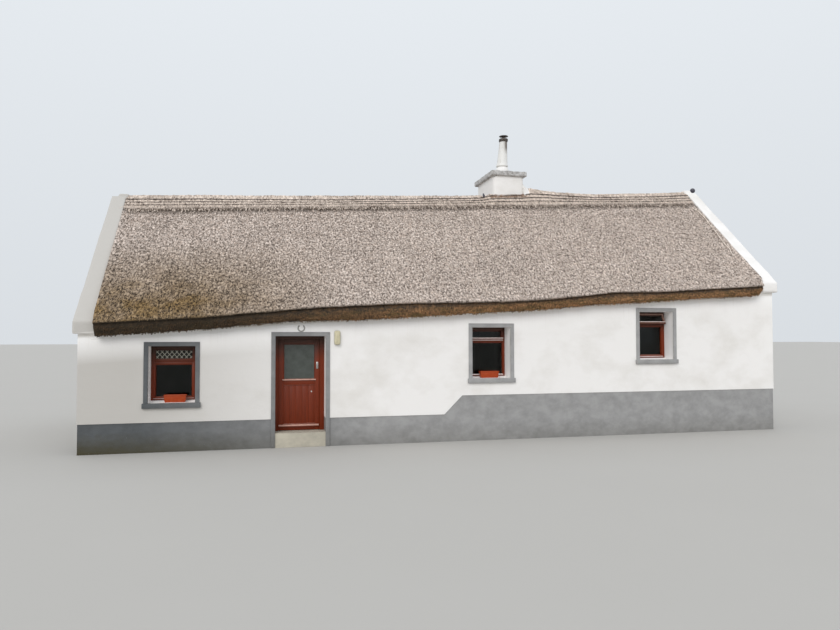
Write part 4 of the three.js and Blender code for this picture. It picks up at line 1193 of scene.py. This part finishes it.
# Fittings
class COTTAGE_OT_fittings(bpy.types.Operator):
    """Makes the wall light, horseshoe, planting troughs and finial."""
    bl_idname = "cottage.fittings"
    bl_label = "Make fittings"

    def execute(self, context):
        self.lamp()
        self.horseshoe()
        plastic, compost = moulded_plastic("moulded_plastic"), potting_compost("potting_compost")
        for node in ("window_box_1", "window_box_2"):
            self.trough(node, plastic)
            self.soil(node, compost)
        self.finial()
        return {"FINISHED"}

    def lamp(self):
        """Bulkhead lamp: round-cornered base with a ribbed, domed diffuser."""
        low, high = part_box("wall_light")
        wall, deep = high.y, high.y - low.y
        base = block("wall_light_base", (low.x, wall - 0.4 * deep, low.z), high)
        work(base, "EDGE", self.level_deep, bpy.ops.mesh.bevel, offset=0.045, segments=6)
        complete(ease(base, 0.006), "lamp_cream", paint=lamp_plastic("lamp_base_plastic", "#d2d0c4"),
                 smooth=40)
        rim = 0.010
        dome = block("wall_light_diffuser", (low.x + rim, low.y + 0.02, low.z + rim),
                     (high.x - rim, wall - 0.39 * deep, high.z - rim))
        work(dome, "EDGE", self.level_deep, bpy.ops.mesh.bevel, offset=0.036, segments=6)
        pick(dome, "FACE", lambda f: f.normal.y < -0.9)
        for shrink in (0.010, 0.016):
            bpy.ops.mesh.inset(thickness=shrink)
            bpy.ops.transform.translate(value=(0, -0.008, 0))
        complete(ease(leave_edit(dome), 0.005, 3), "lamp_cream", "wall_light",
                 paint=lamp_plastic("lamp_diffuser_plastic", "#d2c9a8"), smooth=50)

    def level_deep(self, edge):
        """Whether an edge runs in from the lamp's face to the wall."""
        return abs(edge.verts[0].co.y - edge.verts[1].co.y) > 0.01

    def horseshoe(self):
        """Forged shoe, mouth up, with the groove that its nails sit in."""
        low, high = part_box("horseshoe")
        inner, outer, mouth = 0.053, 0.079, 0.62
        centre = Vector(((low.x + high.x) / 2, high.y, high.z - 0.080 * math.cos(mouth)))
        first = math.pi / 2 + mouth
        section = [(inner, 0.0), (outer, 0.0), (outer, -0.010), (0.071, -0.010), (0.069, -0.007),
                   (0.064, -0.007), (0.062, -0.010), (inner, -0.009)]
        points = [centre + Vector((r * math.cos(first), y, r * math.sin(first))) for r, y in section]
        shoe = new_piece("horseshoe_forged", points, faces=[list(range(len(points)))])
        edit_all(shoe)
        bpy.ops.mesh.spin(steps=36, angle=math.tau - 2 * mouth, center=centre, axis=(0, 1, 0))
        bpy.ops.mesh.select_all(action="SELECT")
        bpy.ops.mesh.normals_make_consistent(inside=False)
        complete(ease(leave_edit(shoe), 0.0015, 1), "horseshoe_iron", "horseshoe",
                 paint=worn_iron("worn_iron"), smooth=40)

    def trough(self, node, paint):
        """Tapered planting trough, open at the top, with a rolled rim."""
        low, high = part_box(node)
        taper, wall, bottom, gap = 0.020, 0.010, 0.030, 0.006
        box = block(node + "_trough", (low.x + gap, low.y + gap, low.z),
                    (high.x - gap, high.y - gap, high.z))
        pick(box, "FACE", lambda f: f.normal.z < -0.9)
        shrink = [1 - 2 * taper / (high[i] - low[i]) for i in (0, 1)]
        bpy.ops.transform.resize(value=(*shrink, 1), center_override=(low + high) / 2)
        pick(box, "FACE", lambda f: f.normal.z > 0.9)
        bpy.ops.mesh.inset(thickness=wall)
        bpy.ops.mesh.extrude_region_move(
            TRANSFORM_OT_translate={"value": (0, 0, bottom - (high.z - low.z))})
        parts = [ease(leave_edit(box), 0.004)]
        roll, fall = 0.007, 0.016
        for start, end in (((low.x, low.y), (high.x, low.y + roll)),
                           ((low.x, high.y - roll), (high.x, high.y)),
                           ((low.x, low.y), (low.x + roll, high.y)),
                           ((high.x - roll, low.y), (high.x, high.y))):
            parts.append(ease(block("rim", (*start, high.z - fall), (*end, high.z)), 0.003))
        complete(join(node + "_trough", parts), "terracotta", node, paint=paint, smooth=35)

    def soil(self, node, paint):
        """Lumpy compost, filling a trough to just below its rim."""
        low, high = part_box(node)
        size, centre = high - low, (low + high) / 2
        clear_selection()
        bpy.ops.mesh.primitive_grid_add(x_subdivisions=54, y_subdivisions=16, size=1,
                                        location=(centre.x, centre.y, high.z - 0.030))
        soil = bpy.context.object
        soil.name = soil.data.name = node + "_compost"
        soil.scale = (size.x - 0.034, size.y - 0.034, 1)
        modify(settle(soil), "SOLIDIFY", thickness=0.05, offset=-1)
        roughen(soil, 0.018, 0.016, level=0.6, direction="Z")
        complete(face_outwards(soil), "terracotta", paint=paint, smooth=60)

    def finial(self):
        """Polished ball on a short neck."""
        low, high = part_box("gable_finial")
        radius, neck = (high.x - low.x) / 2, 0.040
        profile = [(0, low.z - 0.01), (0.052, low.z - 0.01), (0.050, low.z + 0.006), (neck, low.z + 0.012)]
        steps = 24
        start = math.asin(neck / radius)
        for step in range(1, steps + 1):
            turn = start + (math.pi - start) * step / steps
            out = radius * math.sin(turn) if step < steps else 0
            profile.append((out, high.z - radius - radius * math.cos(turn)))
        ball = spun("gable_finial_turned", profile, (low + high) / 2, steps=40)
        complete(ball, "dark_stone", "gable_finial", paint=dark_stone("dark_stone"), smooth=60)


# Materials
def add(tree, kind, *values, out=None, cell=None, **settings):
    """Adds a node with its settings and links, and returns one of its outputs, or several by name.

    Values go to the open sockets in order, and a setting with a capital is a socket's name. With
    cell, the first value is a place, and the pattern's cells measure that many millimetres there.
    """
    made = tree.nodes.new("ShaderNode" + kind)
    if cell:
        per_metre = [1000 / float(side) for side in np.broadcast_to(cell, 3)]
        values = (add(tree, "VectorMath", values[0], per_metre, operation="MULTIPLY"), *values[1:])
        settings = {"Scale": 1.0, "Roughness": 0.6, **settings}
    for name in [name for name in settings if name[0].islower()]:
        setattr(made, name, settings.pop(name))
    fed = list(zip([socket for socket in made.inputs if socket.enabled], values))
    fed += [(made.inputs[name], value) for name, value in settings.items()]
    for socket, value in fed:
        if isinstance(value, bpy.types.NodeSocket):
            tree.links.new(value, socket)
        else:
            socket.default_value = value
    if isinstance(out, tuple):
        return [made.outputs[name] for name in out]
    return made.outputs[out] if out else next(socket for socket in made.outputs if socket.enabled)


def start(name, roughness, **sockets):
    """A new material and its node tree, with the constants of its finish on the shader."""
    paint = bpy.data.materials.new(name)
    paint.use_nodes = True
    shader = paint.node_tree.nodes["Principled BSDF"]
    for socket, value in {"Roughness": roughness, **sockets}.items():
        shader.inputs[socket.replace("_", " ")].default_value = value
    return paint, paint.node_tree


def total(tree, *weighted):
    """The sum of patterns, each times its weight."""
    result = 0.0
    for value, weight in weighted:
        result = add(tree, "Math", value, weight, result, operation="MULTIPLY_ADD")
    return result


def together(tree, *bands):
    """The share of the surface where several things hold at once.

    Each is a share, or a band: a pattern, the two values between which its share grows, and the
    shares at those values unless they are 0 and 1.
    """
    first, *others = [add(tree, "MapRange", *band) if isinstance(band, tuple) else band for band in bands]
    for other in others:
        first = add(tree, "Math", first, other, operation="MULTIPLY")
    return first


def coated(tree, colour, *coats):
    """A colour with coats laid over it in turn. A coat is its colour and the bands that limit it."""
    for coat, *bands in coats:
        under, over = (linear(each) if isinstance(each, str) else each for each in (colour, coat))
        colour = add(tree, "Mix", together(tree, *bands), under, over, data_type="RGBA")
    return colour


def tinted(tree, colour, tint, share):
    """A colour multiplied by a tint over part of the surface."""
    return add(tree, "Mix", share, colour, tint, data_type="RGBA", blend_type="MULTIPLY")


def finished(paint, colour, *relief, roughness=None):
    """Connects a material's colour, its relief as patterns times metres, and a varying roughness."""
    tree = paint.node_tree
    links = {"Base Color": colour}
    if relief:
        links["Normal"] = add(tree, "Bump", Height=total(tree, *relief), Distance=1.0, Strength=1.0)
    if roughness:
        links["Roughness"] = together(tree, roughness)
    for socket, value in links.items():
        tree.links.new(value, tree.nodes["Principled BSDF"].inputs[socket])
    return paint


def mottled(name, roughness, dark, pale, cell, detail, band=(0.0, 1.0), depth=None, fine=None, **sockets):
    """A finish of two colours, mottled in cells of that size in millimetres, which stand up by depth.
    Fine is a second relief: its cell, detail and depth."""
    paint, tree = start(name, roughness, **sockets)
    place = add(tree, "TexCoord", out="Object")
    mottle = add(tree, "TexNoise", place, cell=cell, Detail=detail)
    relief = [(mottle, depth)] if depth else []
    if fine:
        relief.append((add(tree, "TexNoise", place, cell=fine[0], Detail=fine[1]), fine[2]))
    return finished(paint, coated(tree, dark, (pale, (mottle, *band))), *relief)


def moss_share(tree, place):
    """Growth on the low left part of the front slope, where the straw stays wet."""
    across, height = add(tree, "SeparateXYZ", place, out=("X", "Z"))
    growth = add(tree, "TexNoise", place, cell=(500, 500, 400), Detail=4.0)
    climb = 0.06
    above_lip = total(tree, (height, 1.0), (across, -climb), (1.0, climb * LEFT - LIP[1][1]))
    return together(tree, (above_lip, 1.75, 0.35), (across, LEFT + 5.2, LEFT + 2.2),
                    (growth, 0.25, 0.60, 0.65, 1.0))


def weathered_straw(name, roof):
    """Weathered oat straw in a thatch coat: matt, speckled with pale cut ends over dark gaps, rust
    brown where the cut eave shows dry straw. Real ends are 5 to 10 mm wide. The pattern is drawn about
    four times coarser, so that it shows in the render."""
    paint, tree = start(name, 0.95)
    place = add(tree, "UVMap", uv_map=GIRTH)
    along, girth = add(tree, "SeparateXYZ", place, out=("X", "Y"))
    ends = add(tree, "TexNoise", place, cell=(43, 69, 1000), Detail=3.0, Roughness=0.65)
    stems = add(tree, "TexNoise", place, cell=(12, 160, 1000), Detail=1.0)
    patches = add(tree, "TexNoise", place, cell=(800, 1400, 1000), Detail=3.0)
    streaks = add(tree, "TexNoise", place, cell=(100, 2200, 1000))
    tone = total(tree, (ends, 0.68), (stems, 0.18), (patches, 0.07), (streaks, 0.07))
    coat = coated(tree, shade(roof.dark, 0.7), (roof.pale, (tone, 0.41, 0.59)))
    coat = tinted(tree, coat, roof.moss, moss_share(tree, add(tree, "TexCoord", out="Object")))
    in_ridge_shadow = (girth, 0.50, 0.56), (girth, 0.74, 0.62), 0.62
    coat = coated(tree, coat, (shade(roof.dark, 0.4), *in_ridge_shadow))
    # The cut eave, from the lip down: a dark upper edge of painted shade under the lip, then rust, green
    # and pale blotches, and darker towards the left end, partly by dampness and partly as painted shade.
    lip = girth_of(np.array([*SLOPE, *LIP]))[-1]
    growth = add(tree, "TexNoise", place, cell=(350, 600, 1000), Detail=4.0)
    blotches = add(tree, "TexNoise", place, cell=(280, 80, 1000), Detail=3.0)
    green = add(tree, "TexNoise", place, cell=(550, 140, 1000), Detail=2.5)
    dryness = total(tree, (along, 0.09), (growth, 0.8))
    down = total(tree, (girth, 1.0), (blotches, 0.22), (1.0, -0.11))
    eave = coated(tree, roof.damp_and_shade,
                  (roof.rust, (dryness, 0.5, 1.25)),
                  ("#6b5c36", (green, 0.50, 0.60, 0.0, 0.75)),
                  # Painted shade under the lip.
                  ("#40362d", (down, lip + 0.22, lip + 0.11, 0.0, 0.9)),
                  (shade(roof.rust, 0.5), (blotches, 0.46, 0.62, 0.0, 0.7)),
                  ("#b98a5c", (blotches, 0.44, 0.32, 0.0, 0.5)),
                  # Darker towards the left end: partly dampness, partly painted shade.
                  (roof.damp_and_shade, (along, 6.5, 2.8, 0.0, 0.8)))
    eave = coated(tree, shade(roof.damp_and_shade, 0.45), (eave, (tone, 0.34, 0.62)))
    ragged_lip = total(tree, (girth, 1.0), (ends, 0.12))
    colour = coated(tree, coat, (eave, (ragged_lip, lip + 0.025, lip + 0.07)))
    return finished(paint, colour, (ends, 0.018), (stems, 0.005))


def ridge_straw(name, roof):
    """Straw laid over the ridge and tied: paler than the coat, its stems running over the top, with
    painted shade in the grooves where the ties pull it in and a band of painted shadow at its foot.
    Stems are 4 to 6 mm thick and are drawn 12 mm, so that they show."""
    paint, tree = start(name, 0.92)
    place = add(tree, "UVMap", uv_map=GIRTH)
    girth = add(tree, "SeparateXYZ", place, out="Y")
    stems = add(tree, "TexNoise", place, cell=(12, 200, 1000))
    tufts = add(tree, "TexNoise", place, cell=(45, 100, 1000), Detail=2.5)
    patches = add(tree, "TexNoise", place, cell=(600, 800, 1000), Detail=3.0)
    tone = total(tree, (stems, 0.36), (tufts, 0.40), (patches, 0.24))
    crest = girth_of(spread([RIDGE_FOOT, *RIDGE_SKIN], RIDGE_GRID))[-1]
    from_top = add(tree, "Math", total(tree, (girth, 1.0), (1.0, -crest)), operation="ABSOLUTE")
    from_top = total(tree, (from_top, 1.0), (tufts, 0.016), (1.0, -0.008))
    coats = [(roof.ridge_pale, (tone, 0.40, 0.58))]
    for tie in LIGATURES:
        off = add(tree, "Math", total(tree, (from_top, 1.0), (1.0, -tie)), operation="ABSOLUTE")
        # Painted shade in the groove along each tie.
        coats.append((roof.rod, (off, 0.026, 0.012, 0.0, 0.9)))
    # A band of painted shadow along the cap's foot.
    coats.append((roof.rod, (from_top, 0.56, 0.62, 0.0, 0.5)))
    return finished(paint, coated(tree, roof.ridge_dark, *coats), (stems, 0.006), (tufts, 0.012))


def loose_straw(name, dark, pale, moss=None, damp_and_shade_end=False):
    """Loose straws and tufts of cut ends: dull bleached stems, each with its own tone, mottled about
    20 mm apart."""
    paint, tree = start(name, 0.85)
    tone = add(tree, "Attribute", out="Fac", attribute_name=TONE)
    place = add(tree, "TexCoord", out="Object")
    mottle = add(tree, "TexNoise", place, cell=(20, 20, 50), Detail=1.0)
    colour = coated(tree, dark, (pale, total(tree, (tone, 0.85), (mottle, 0.15))))
    if moss is not None:
        patches = add(tree, "TexNoise", place, cell=(700, 700, 500), Detail=3.0)
        growth = moss_share(tree, place)
        colour = coated(tree, colour, (dark, (patches, 0.62, 0.40, 0.0, 0.12)),
                        (shade(dark, 0.3), growth, (tone, 0.7, 0.3)))
        colour = tinted(tree, colour, moss, growth)
    if damp_and_shade_end:
        across = add(tree, "SeparateXYZ", place, out="X")
        blotches = add(tree, "TexNoise", place, cell=(300, 300, 70), Detail=3.0)
        green = add(tree, "TexNoise", place, cell=(500, 500, 120), Detail=2.5)
        colour = coated(tree, colour, (dark, (blotches, 0.50, 0.62, 0.0, 0.85)),
                        ("#c49a6c", (blotches, 0.44, 0.34, 0.0, 0.6)),
                        ("#6b5c36", (green, 0.50, 0.60, 0.0, 0.6)),
                        # Darker towards the left end: partly dampness, partly painted shade.
                        (dark, (across, LEFT + 6.5, LEFT + 2.8, 0.0, 0.8)))
    return finished(paint, colour)


def straw_rope(name):
    """Rope twisted from straw: pale buff, with the twist's dark lines about 40 mm apart."""
    return mottled(name, 0.85, "#9c8c7c", "#ecdfd3", (30, 40, 40), 2.0, band=(0.36, 0.56), depth=0.004)


def hazel_rod(name, colour):
    """Split hazel rod: dark weathered bark with greyer flecks 10 mm wide."""
    return mottled(name, 0.8, colour, shade(colour, 2.2), (120, 10, 10), 2.0, band=(0.45, 0.75),
                   depth=0.002)


def below_head(tree, across, height):
    """How far below the wall head a point is, the head climbing along the building."""
    head, climb = WALL_HEAD
    return total(tree, (across, climb), (height, -1.0), (1.0, head - climb * LEFT))


def render_relief(tree, place, swell):
    """Relief of render trowelled over rubble: slow hollows, trowel marks and 7 mm sand."""
    hollows = add(tree, "TexNoise", place, cell=(450, 450, 350), Detail=1.5, Roughness=0.4)
    marks = add(tree, "TexNoise", place, cell=(90, 90, 50))
    sand = add(tree, "TexNoise", place, cell=7, Detail=1.0)
    return (hollows, swell), (marks, 0.0022), (sand, 0.0006)


def masonry_paint(name, walls):
    """Matt masonry paint over rendered rubble: off-white, greyer in patches, and greyer towards the
    left end, partly by dampness and partly as painted shade. It is whiter under the eave and in the
    reveals, as painted light against their shade, with faint run-off streaks and a darker, warmer band at
    the wall head."""
    paint, tree = start(name, 0.88)
    place = add(tree, "TexCoord", out="Object")
    across, deep, height = add(tree, "SeparateXYZ", place, out=("X", "Y", "Z"))
    patches = add(tree, "TexNoise", place, cell=(900, 900, 700), Detail=4.0)
    streaks = add(tree, "TexNoise", place, cell=(45, 45, 900), Detail=3.0)
    deep = add(tree, "Math", deep, operation="ABSOLUTE")
    from_middle = add(tree, "Math", across, operation="ABSOLUTE")
    below = below_head(tree, across, height)
    under_eave = together(tree, (below, 0.55, 0.02), (below, -0.10, -0.06), (deep, 3.05, 3.08))
    reveal = together(tree, (deep, 3.07, 3.04), (deep, 2.62, 2.66), (from_middle, 7.70, 7.60))
    colour = coated(tree, walls.white,
                    (walls.grimy, (patches, 0.45, 0.75, 0.0, 0.55)),
                    # Greyer towards the left end, partly by dampness and partly as painted shade.
                    (walls.damp_and_shade, (across, LEFT + 5.2, LEFT + 1.0)),
                    # Painted light: whiter paint under the eave and in the reveals, against their shade.
                    (walls.painted_light_white, under_eave),
                    (walls.painted_light_white, reveal),
                    ("#b3a893", (streaks, 0.54, 0.74), under_eave, 0.12),
                    ("#b0a38c", (below, 0.03, -0.01), under_eave, 0.25))
    return finished(paint, colour, *render_relief(tree, place, walls.swell))


def trim_paint(name, walls):
    """Grey masonry paint on plinths and surrounds: darker at the left end, partly its own colour and
    partly painted shade, faded to the right, chalked, with algae where rain splashes."""
    paint, tree = start(name, 0.8)
    place = add(tree, "TexCoord", out="Object")
    across, height = add(tree, "SeparateXYZ", place, out=("X", "Z"))
    patches = add(tree, "TexNoise", place, cell=(250, 250, 200), Detail=4.0)
    growth = add(tree, "TexNoise", place, cell=(120, 120, 80), Detail=4.0)
    scuffs = add(tree, "TexNoise", place, cell=(30, 30, 20))
    # Darker towards the left end: partly the paint's own colour, partly painted shade.
    colour = coated(tree, walls.grey, (walls.faded, (across, LEFT + 1.2, LEFT + 5.8)))
    colour = tinted(tree, colour, linear("#e2e2e2"), together(tree, (patches, 0.35, 0.7)))
    splash = total(tree, (height, 1.0), (growth, 0.25))
    colour = coated(tree, colour,
                    (walls.algae, (splash, 0.54, 0.14), (across, LEFT + 4.0, LEFT + 0.5, 0.30, 1.0), 0.9),
                    ("#b6bbc0", (scuffs, 0.70, 0.78, 0.0, 0.5)))
    return finished(paint, colour, *render_relief(tree, place, walls.swell * 0.6))


def floated_concrete(name):
    """Float-finished concrete: pale warm grey, 8 mm sand and faint swirls of the float."""
    return mottled(name, 0.85, "#a8a294", "#c2bbaa", (300, 200, 200), 3.0, band=(0.3, 0.7), depth=0.002,
                   fine=(8, 2.0, 0.0008))


def sawn_timber(name):
    """Rough-sawn softwood gone brown, with saw marks about 6 mm apart."""
    return mottled(name, 0.85, "#5d452f", "#8c6d4c", (20, 90, 90), 3.0, band=(0.3, 0.7), depth=0.002,
                   fine=((50, 6, 50), 1.0, 0.001))


def weathered_cement(name):
    """Weathered cement mortar: mid grey and gritty, blotched with 35 mm spots of pale lichen."""
    paint, tree = start(name, 0.92)
    place = add(tree, "TexCoord", out="Object")
    blotches = add(tree, "TexNoise", place, cell=(100, 100, 70), Detail=4.0)
    lichen = add(tree, "TexNoise", place, cell=(35, 35, 30), Detail=3.0)
    grit = add(tree, "TexNoise", place, cell=8, Detail=1.0)
    colour = coated(tree, "#85817e", ("#c6c4c2", (blotches, 0.32, 0.58)),
                    ("#d9d6c8", (lichen, 0.60, 0.68, 0.0, 0.6)))
    return finished(paint, colour, (blotches, 0.006), (grit, 0.0015))


def flue_paint(name):
    """White paint on a clay pot: satin, thin and sooty towards the top, painted shade down its right side.
    """
    paint, tree = start(name, 0.6)
    place = add(tree, "TexCoord", out="Object")
    across, height = add(tree, "SeparateXYZ", place, out=("X", "Z"))
    wear = add(tree, "TexNoise", place, cell=(80, 80, 250), Detail=3.0)
    low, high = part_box("flue_pot")
    middle, top = (low.x + high.x) / 2, high.z
    colour = coated(tree, "#e6e4e0",
                    ("#c3bdb2", (wear, 0.5, 0.8, 0.0, 0.6)),
                    ("#8d867c", (height, top - 0.5, top - 0.05), (wear, 0.35, 0.65), 0.5),
                    # Painted shade down the pot's right side.
                    ("#665a50", (across, middle - 0.01, middle + 0.05),
                     (height, top - 0.46, top - 0.26), 0.9))
    return finished(paint, colour, (wear, 0.003))


def dull_sheet(name):
    """Galvanised sheet gone dull and brown: half metallic, with 30 mm blooms of rust."""
    return mottled(name, 0.55, "#6d6a66", "#4b3a30", 30, 4.0, band=(0.4, 0.65), depth=0.001, Metallic=0.7)


def stained_timber(name, make, upright=False, shed=0.25, dust=None):
    """Softwood under red-brown stain: satin, grain lines about 4 mm apart along the member, with
    painted shade under the heads of the openings. It is paler where it faces the sky, partly bleached
    and dusty and partly painted sheen, and less so towards the left end, as painted shade. Its sheen
    is low because the surround is brighter than what the real one mirrors."""
    paint, tree = start(name, 0.42, Specular_IOR_Level=0.3)
    place = add(tree, "TexCoord", out="Object")
    across, height = add(tree, "SeparateXYZ", place, out=("X", "Z"))
    facing = add(tree, "SeparateXYZ", add(tree, "NewGeometry", out="Normal"), out="Z")
    cell = np.array((4, 4, 120) if upright else (120, 4, 4))
    lines = add(tree, "TexNoise", place, cell=tuple(cell), Detail=3.0)
    wide = add(tree, "TexNoise", place, cell=tuple(9 * cell))
    specks = add(tree, "TexNoise", place, cell=50, Detail=3.0)
    tone = total(tree, (lines, 0.6), (wide, 0.4))
    colour = coated(tree, shade(make.stain, 0.55),
                    (make.stain, (tone, 0.34, 0.62)),
                    # Painted shade under the heads of the openings.
                    ("#33241b", (below_head(tree, across, height), 0.80, 0.36, 0.0, 0.88)),
                    # Paler on faces towards the sky, partly bleaching and dust and partly painted sheen,
                    # held back towards the left end as painted shade.
                    (dust or make.bleached, (facing, shed, shed + 0.45), (specks, 0.2, 0.6, 0.6, 1.0),
                     (across, LEFT + 2.2, LEFT + 4.2, 0.35, 1.0)))
    return finished(paint, colour, (lines, 0.0008), roughness=(lines, 0.3, 0.7, 0.36, 0.52))


def float_glass(name):
    """Clear float glass, slightly rippled. Its tint stands for dim rooms, and its reflection is toned
    down because the surround is brighter than what the real one mirrors."""
    return mottled(name, 0.02, "#8c918c", "#969a96", (350, 350, 500), 1.0, band=(0.3, 0.7), depth=0.0006,
                   Transmission_Weight=1.0, IOR=1.5, Specular_Tint=linear("#a8aaa8"))


def frosted_glass(name):
    """Patterned privacy glass: grey-green, cast with pebbles about 8 mm across."""
    paint, tree = start(name, 0.34, Transmission_Weight=0.35, IOR=1.5)
    place = add(tree, "TexCoord", out="Object")
    pebbles = add(tree, "TexVoronoi", place, cell=8)
    clouding = add(tree, "TexNoise", place, cell=150, Detail=3.0)
    return finished(paint, coated(tree, "#4a4f49", ("#5f655f", (clouding, 0.3, 0.7))), (pebbles, 0.0012))


def lead_came(name):
    """Lead came weathered pale: dull white-grey oxide in 12 mm blooms."""
    return mottled(name, 0.6, "#c6c6b4", "#e6e5d6", 12, 2.0)


def satin_steel(name):
    """Satin stainless steel: fine level brushing, drawn 1 mm apart so that it shows."""
    paint, tree = start(name, 0.32, Metallic=1.0)
    brushed = add(tree, "TexNoise", add(tree, "TexCoord", out="Object"), cell=(30, 1, 1))
    return finished(paint, coated(tree, "#a9a8a5", ("#d2d1cd", brushed)), (brushed, 0.0001),
                    roughness=(brushed, 0.3, 0.7, 0.25, 0.42))


def lamp_plastic(name, colour):
    """Aged polycarbonate: cream, satin, with fine level prisms 5 mm apart."""
    paint, tree = start(name, 0.38)
    place = add(tree, "TexCoord", out="Object")
    prisms = add(tree, "TexWave", place, 1 / (0.005 * math.tau), out="Fac", bands_direction="Z",
                 wave_profile="SIN")
    dust = add(tree, "TexNoise", place, cell=(40, 40, 60), Detail=3.0)
    dusty = shade(linear(colour), 0.8)
    return finished(paint, coated(tree, colour, (dusty, (dust, 0.45, 0.75))), (prisms, 0.0006))


def worn_iron(name):
    """Forged iron worn grey: low sheen, pitted, dark in the 6 mm pits."""
    return mottled(name, 0.5, "#77746f", "#b5b3ae", 6, 3.0, band=(0.35, 0.6), depth=0.0012, Metallic=0.6)


def moulded_plastic(name):
    """Terracotta-coloured polypropylene: satin, slightly chalked by the sun in 50 mm patches."""
    return mottled(name, 0.5, "#a03708", "#ab4a1e", (50, 50, 40), 4.0, band=(0.4, 0.7), depth=0.0006,
                   Specular_IOR_Level=0.35)


def potting_compost(name):
    """Damp potting compost: near black crumbs 12 mm across with pale flecks."""
    paint, tree = start(name, 0.98)
    place = add(tree, "TexCoord", out="Object")
    crumbs = add(tree, "TexNoise", place, cell=12, Detail=4.0)
    flecks = add(tree, "TexNoise", place, cell=6, Detail=1.0)
    colour = coated(tree, "#1f1812", ("#4a3829", (crumbs, 0.35, 0.65)), ("#a89c86", (flecks, 0.72, 0.76)))
    return finished(paint, colour, (crumbs, 0.008))


def dark_stone(name):
    """Dark stone, a polished ball or a riven slate: blue-black with a soft shine and paler specks."""
    return mottled(name, 0.28, "#3b3842", "#6b6674", 8, 3.0, band=(0.55, 0.7), depth=0.0004)


def studio_floor(name, colour):
    """Plain matt floor with a barely mottled surface."""
    return mottled(name, 0.95, colour, shade(colour, 0.97), 2000, 2.0)


# Stage
class COTTAGE_OT_stage(bpy.types.Operator):
    """Sets the pale floor, the soft light and the camera at the photo's angle."""
    bl_idname = "cottage.stage"
    bl_label = "Set stage"

    def execute(self, context):
        stage = context.scene.cottage_stage
        self.floor(stage)
        self.surround(context.scene, stage)
        self.key_light(context.scene, stage)
        self.camera(context.scene, stage)
        context.scene.view_settings.view_transform = "Standard"
        return {"FINISHED"}

    def floor(self, stage):
        clear_selection()
        bpy.ops.mesh.primitive_plane_add(size=400, location=(0, 0, -0.002))
        floor = settle(bpy.context.object)
        floor.name = floor.data.name = "studio_floor"
        floor.data.materials.append(studio_floor("studio_floor", stage.floor))

    def surround(self, scene, stage):
        """Pale light from all round, stronger from overhead."""
        scene.world = bpy.data.worlds.new("pale_surround")
        scene.world.use_nodes = True
        tree = scene.world.node_tree
        background = tree.nodes["Background"]
        background.inputs["Color"].default_value = stage.sky
        upward = add(tree, "SeparateXYZ", add(tree, "TexCoord", out="Generated"), out="Z")
        strength = add(tree, "MapRange", upward, 0.0, 1.0, stage.level_strength, stage.zenith_strength)
        tree.links.new(strength, background.inputs["Strength"])

    def key_light(self, scene, stage):
        """A broad sun, high on the left in front of the building."""
        key = bpy.data.objects.new("key_light", bpy.data.lights.new("key_light", "SUN"))
        key.data.energy = stage.key_strength
        key.data.angle = stage.key_spread
        key.data.color = stage.key_colour[:3]
        key.rotation_euler = Vector((0.36, 0.72, -0.50)).to_track_quat("-Z", "Y").to_euler()
        scene.collection.objects.link(key)

    def camera(self, scene, stage):
        """Aims the camera by its turn to the right, its tilt up and its roll."""
        yaw, pitch, roll = stage.camera_turn
        ahead = Vector((math.sin(yaw) * math.cos(pitch), math.cos(yaw) * math.cos(pitch), math.sin(pitch)))
        right = Vector((math.cos(yaw), -math.sin(yaw), 0))
        up = right.cross(ahead)
        right, up = (right * math.cos(roll) + up * math.sin(roll),
                     up * math.cos(roll) - right * math.sin(roll))
        data = bpy.data.cameras.new("camera")
        data.lens, data.sensor_width, data.clip_end = stage.lens, 36.0, 1000.0
        camera = bpy.data.objects.new("camera", data)
        turn = Matrix((right, up, -ahead)).transposed().to_4x4()
        camera.matrix_world = Matrix.Translation(stage.camera_place) @ turn
        scene.collection.objects.link(camera)
        scene.camera = camera


class COTTAGE_PT_panel(bpy.types.Panel):
    """Lists the settings and steps of the cottage."""
    bl_label = "Thatched cottage"
    bl_idname = "COTTAGE_PT_panel"
    bl_space_type = "VIEW_3D"
    bl_region_type = "UI"
    bl_category = "Cottage"

    def draw(self, context):
        for group, (_, *steps) in STEPS.items():
            column = self.layout.box().column()
            settings = getattr(context.scene, group)
            for name in settings.__annotations__:
                column.prop(settings, name)
            for step in steps:
                column.operator(step.bl_idname)


# Each group of settings with the operators that read it, in the order in which they run.
STEPS = {
    "cottage_stage": (StageSettings, COTTAGE_OT_stage),
    "cottage_roof": (RoofSettings, COTTAGE_OT_thatch, COTTAGE_OT_ridge),
    "cottage_walls": (WallSettings, COTTAGE_OT_masonry, COTTAGE_OT_chimney),
    "cottage_joinery": (JoinerySettings, COTTAGE_OT_windows, COTTAGE_OT_door, COTTAGE_OT_fittings),
}
CLASSES = [*(cls for classes in STEPS.values() for cls in classes), COTTAGE_PT_panel]


def register():
    for cls in CLASSES:
        bpy.utils.register_class(cls)
    for group, (settings, *_) in STEPS.items():
        setattr(bpy.types.Scene, group, PointerProperty(type=settings))


def unregister():
    for group in STEPS:
        delattr(bpy.types.Scene, group)
    for cls in reversed(CLASSES):
        bpy.utils.unregister_class(cls)


def main():
    """Runs every step."""
    register()
    for _, *steps in STEPS.values():
        for step in steps:
            group, name = step.bl_idname.split(".")
            getattr(getattr(bpy.ops, group), name)()
    clear_selection()


if __name__ == "__main__":
    main()
